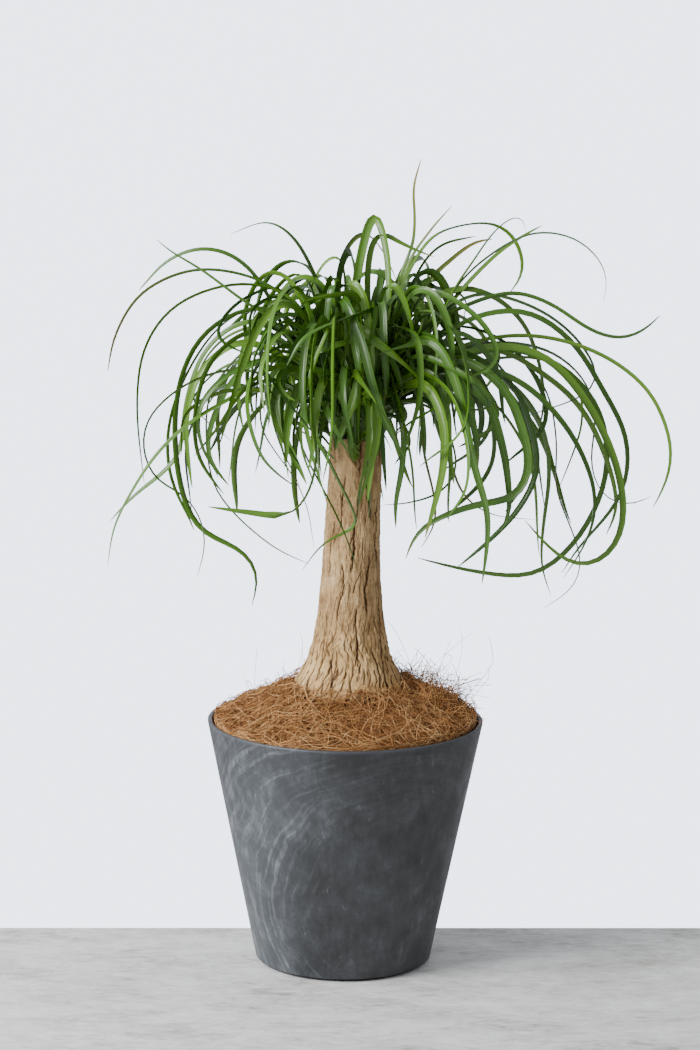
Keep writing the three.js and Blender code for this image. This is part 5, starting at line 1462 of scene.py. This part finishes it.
def shoot_skin(stem, blades, order):
    """One mesh of a shoot: its wrapped stem and all its blades, with what the finish has to know.

    along and across are shares of the blade, tone is the leaf's own number, and dry grows from 0,
    where the withered tip starts, to 1 at its point.
    """
    rows, t, wrap = stem_skin(stem)
    points, faces = closed_stack(rows)
    parts, first = [points], len(points)
    values = {"along": [np.append(np.repeat(STEM_ALONG + t * 0.01, wrap.shape[1]), [STEM_ALONG] * 2)],
              "across": [np.append(wrap.ravel() * 2 - 1, [0, 0])],
              "tone": [np.full(first, STEM_TONE)], "dry": [np.zeros(first)]}
    for k, (shape, width, loose) in enumerate(blades):
        rows, share, u = blade_skin(shape, loose, [own_number(k, order, n, 21) for n in (6, 7, 8)])
        faces += tube_faces(len(rows), AROUND, first)[:, ::-1].tolist()
        last = first + (len(rows) - 1) * AROUND
        faces += [tuple(first + np.arange(AROUND)), tuple(last + np.arange(AROUND)[::-1])]
        withered = own_number(k, order, 5, 12) * 0.3 + (0.90 if width > BROAD_LEAF else 0.40)
        parts.append(rows.reshape(-1, 3))
        values["along"].append(share)
        values["across"].append(u)
        values["tone"].append(np.full(len(share), own_number(k, order, 3, 77)))
        values["dry"].append(np.clip((share - withered) / max(1 - withered, 0.05), 0, 1))
        first += len(share)
    values = {label: np.concatenate(numbers) for label, numbers in values.items()}
    name = stem["name"].replace("shoot", "leafy_shoot")
    return piece(name, np.vstack(parts), faces, stem["name"], values, sharp_from=FOLD_EDGE)


print("tone of leaf 0 on shoot 0:", float(own_number(0, 0, 3, 77)))

# %% [markdown]
# ## Inner leaves
# The real crown is denser than the solids can be. Copies of their leaves would show as copies, so
# three kinds more are strewn by rules of their own, and each grows out of the shoot nearest to it.
# The first are inner leaves, which cross each other close to the shoots.

# %% Inner leaves
INNER_LEAVES, INNER_START, INNER_FOOT = 58, 24, 570


def inner_leaf(k):
    """Inner leaf k: a broad leaf that climbs close to its shoot, crosses its neighbours and hangs.

    Its bearing is k golden turns, and six draws give its height, reach, drop, sweep, roll and width.
    Its top lies 585 to 690 mm high, it reaches 46 to 141 mm, and its tip hangs 20 to 210 mm below
    the top. Its heading turns by up to 75 degrees either way, as share^2, and a wave of a quarter
    radian sways it.
    """
    angle = 2 * math.pi * golden(k, 0.41)
    high, far, low, sweep, roll, broad = six_draws(k, 0.23)
    top = 585 + 105 * high ** 1.2
    reach = 46 + 95 * far ** 1.3
    end = top - 20 - 190 * low ** 2.0 * (0.4 + 0.6 * far)

    def at(out, height, share):
        heading = angle + math.radians(150 * (sweep - 0.5)) * share * share
        heading += 0.25 * math.sin(6.3 * (share + roll))
        return crown_point(INNER_START + (reach - INNER_START) * out, heading, height)

    path = (at(0.06, INNER_FOOT + (top - INNER_FOOT) * 0.6, 0.2), at(0.26, top - 3, 0.4),
            at(0.55, top - 0.05 * (top - end), 0.6), at(0.88, top - 0.42 * (top - end), 0.8),
            at(1 - 0.15 * broad, end, 1))
    return (4.8 + 3.2 * broad, 150 * (roll - 0.5), 200 * (sweep - 0.5), path)


print("first inner leaf", inner_leaf(0)[0], "mm wide")

# %% [markdown]
# ## Outer leaves
# The oldest leaves arch far out, fall steeply and curl back under themselves. They could be bent
# copies of the inner ones, but the crown reaches furthest on the right and least in front. So their
# rule reads how far they may reach from a short table of bearings.

# %% Outer leaves
OUTER_LEAVES, OUTER_LOWEST = 38, 425
REACHES = ((0, 285), (90, 215), (180, 232), (270, 114), (360, 285))   # bearing in degrees, reach in mm


def outer_leaf(k):
    """Outer leaf k: a leaf that arches far out, falls steeply and curls back under itself.

    Its bearing is k golden turns. It reaches 45 to 98% of the crown's own reach on that bearing,
    which is read between the REACHES. Its top lies 612 to 704 mm high, its tip hangs 60 to 250 mm
    lower, though not below OUTER_LOWEST, and its last stretch turns back by up to a third.
    """
    turn = golden(k, 0.27)
    angle = 2 * math.pi * turn
    high, far, low, sway, roll, slim = six_draws(k, 0.37)
    reach = np.interp(360 * turn, *zip(*REACHES)) * (0.45 + 0.53 * far)
    top = 612 + 92 * high
    end = max(top - 60 - 190 * low * (0.45 + 0.55 * far), OUTER_LOWEST)

    def at(out, fall, share):
        heading = angle + math.radians(60 * (sway - 0.5)) * share * share
        return crown_point(FILL_START + (reach - FILL_START) * out, heading, top - (top - end) * fall)

    path = (at(0.10, 0.02 + 0.5 * (top - 580) / (top - end), 0.2), at(0.36, 0, 0.4), at(0.68, 0.10, 0.6),
            at(0.92, 0.42, 0.8), at(1, 0.75, 0.9), at(0.94 - 0.3 * roll, 1, 1))
    return (4.0 + 2.4 * slim, 100 * (roll - 0.5), 160 * (sway - 0.5), path)


print("first outer leaf", outer_leaf(0)[0], "mm wide")

# %% [markdown]
# ## Curled leaves
# Short young leaves curl round the cut and half hide its wax. They could be set by hand, but nothing
# tells one from the next, so a rule places them as well.

# %% Curled leaves
CURLED_LEAVES, CURLED_FROM, CURLED_SWEEP = 16, 150, 160   # bearings in degrees


def curled_leaf(k):
    """Curled leaf k: a short young leaf at the cut whose course is an arch that turns under itself.

    They stand round the front and the left of the cut, reach 40 to 74 mm, rise to 562 to 596 mm and
    turn back by 16 mm at the tip.
    """
    high, far, low, sweep, roll, broad = six_draws(k, 0.71)
    angle = math.radians(CURLED_FROM + CURLED_SWEEP * golden(k))
    reach, top = 40 + 34 * far, 562 + 34 * high

    def at(radius, height, turn):
        return crown_point(radius, angle + (sweep - 0.5) * turn, height)

    path = (at(27, top - 6, 0.1), at(0.55 * reach + 12, top + 4, 0.4), at(reach, top - 2, 0.8),
            at(reach + 4, top - 20 - 10 * low, 1.2), at(reach - 12, top - 34 - 26 * low, 1.5))
    return (4.0 + 2.4 * broad, 140 * (roll - 0.5), 160 * (sweep - 0.5), path)


print("first curled leaf", curled_leaf(0)[0], "mm wide")

# %% Make the shoots
for rule, count in ((inner_leaf, INNER_LEAVES), (curled_leaf, CURLED_LEAVES), (outer_leaf, OUTER_LEAVES)):
    for leaf in map(rule, range(count)):
        shoot = nearest_shoot(leaf[3][0])
        leaves_of[shoot].append((blade(leaf, stems[shoot]), leaf[0], SCENE_ONLY))
shoots = [shoot_skin(stem, blades, order) for order, (stem, blades) in enumerate(zip(stems, leaves_of))]
print("foliage:", sum(len(b) for b in leaves_of), "leaves")

# %% [markdown]
# ## Leaf finish
# A living leaf has a waxy skin with a pale sheen and fine ribs along it. It is yellow-green where
# it leaves the shoot, deep green along the blade and dried to brown at the tip. Object coordinates
# can't follow a bent blade, so every point carries its share along and across its own leaf.

# %% Greens
# Waxy green leaf: each leaf has a green of its own, and the crown drifts a little in colour
material, tree, shader, place = finish("waxy green leaf", 0.33, 0.45)
along = add(tree, "Attribute", attribute_name="along")["Fac"]
tone = add(tree, "Attribute", attribute_name="tone")["Fac"]
cloud = add(tree, "TexNoise", {"Vector": place, "Scale": 24.0, "Detail": 3.0})["Fac"]
drifting = add(tree, "Math", {0: cloud, 1: 0.4}, operation="MULTIPLY")[0]
shade = add(tree, "Math", {0: tone, 1: 0.7, 2: drifting}, operation="MULTIPLY_ADD")[0]
greens = [(0.15, "254800"), (0.5, "3e6500"), (0.9, "587e16")]
green = add(tree, "ValToRGB", {"Fac": shade}, stops=greens)["Color"]
young = add(tree, "ValToRGB", {"Fac": shade}, stops=[(0.2, "456d1c"), (0.9, "7a9c3a")])["Color"]
leaf_base = add(tree, "MapRange", {"Value": along, "From Min": 0.14, "From Max": 0.0})[0]
green = add(tree, "Mix", {0: leaf_base, 6: green, 7: young}, data_type="RGBA")[2]
print("greens by leaf and by place")

# %% Ribs and dry tips
# Real ribs lie 0.3 mm apart. Here each half of a blade has two, so that they show
RIB_WAVES = 12.6   # radians of a sine over half a blade: two ribs

across = add(tree, "Attribute", attribute_name="across")["Fac"]
dry = add(tree, "Attribute", attribute_name="dry")["Fac"]
ribs = add(tree, "Math", {0: across, 1: RIB_WAVES}, operation="MULTIPLY")[0]
ribs = add(tree, "Math", {0: ribs}, operation="SINE")[0]
rib_and_sheen = add(tree, "MapRange", {"Value": ribs, "From Min": -1.0, "From Max": 1.0, "To Max": 0.08})[0]
off_middle = add(tree, "Math", {0: across}, operation="ABSOLUTE")[0]
keel = add(tree, "MapRange", {"Value": off_middle, "From Min": 0.16, "From Max": 0.0, "To Max": 0.12})[0]
brown = add(tree, "Math", {0: dry, 1: 0.85}, operation="MULTIPLY")[0]
# The pale ribs and keel are the leaf's veins and midrib, tinted bluish as a painted sheen
for share, colour in ((rib_and_sheen, "7fa66e"), (keel, "8db07a"), (brown, "806b34")):
    green = add(tree, "Mix", {0: share, 6: green, 7: colour}, data_type="RGBA")[2]
tree.links.new(green, shader.inputs["Base Color"])
gloss = add(tree, "MapRange", {"Value": cloud, "From Min": 0.3, "From Max": 0.7,
                               "To Min": 0.26, "To Max": 0.40})[0]
tree.links.new(gloss, shader.inputs["Roughness"])
relief = add(tree, "Bump", {"Height": ribs, "Distance": 0.00015, "Strength": 0.35})[0]
tree.links.new(relief, shader.inputs["Normal"])
for shoot in shoots:
    shoot.data.materials.append(material)
print("leaf material on", len(shoots), "shoots")
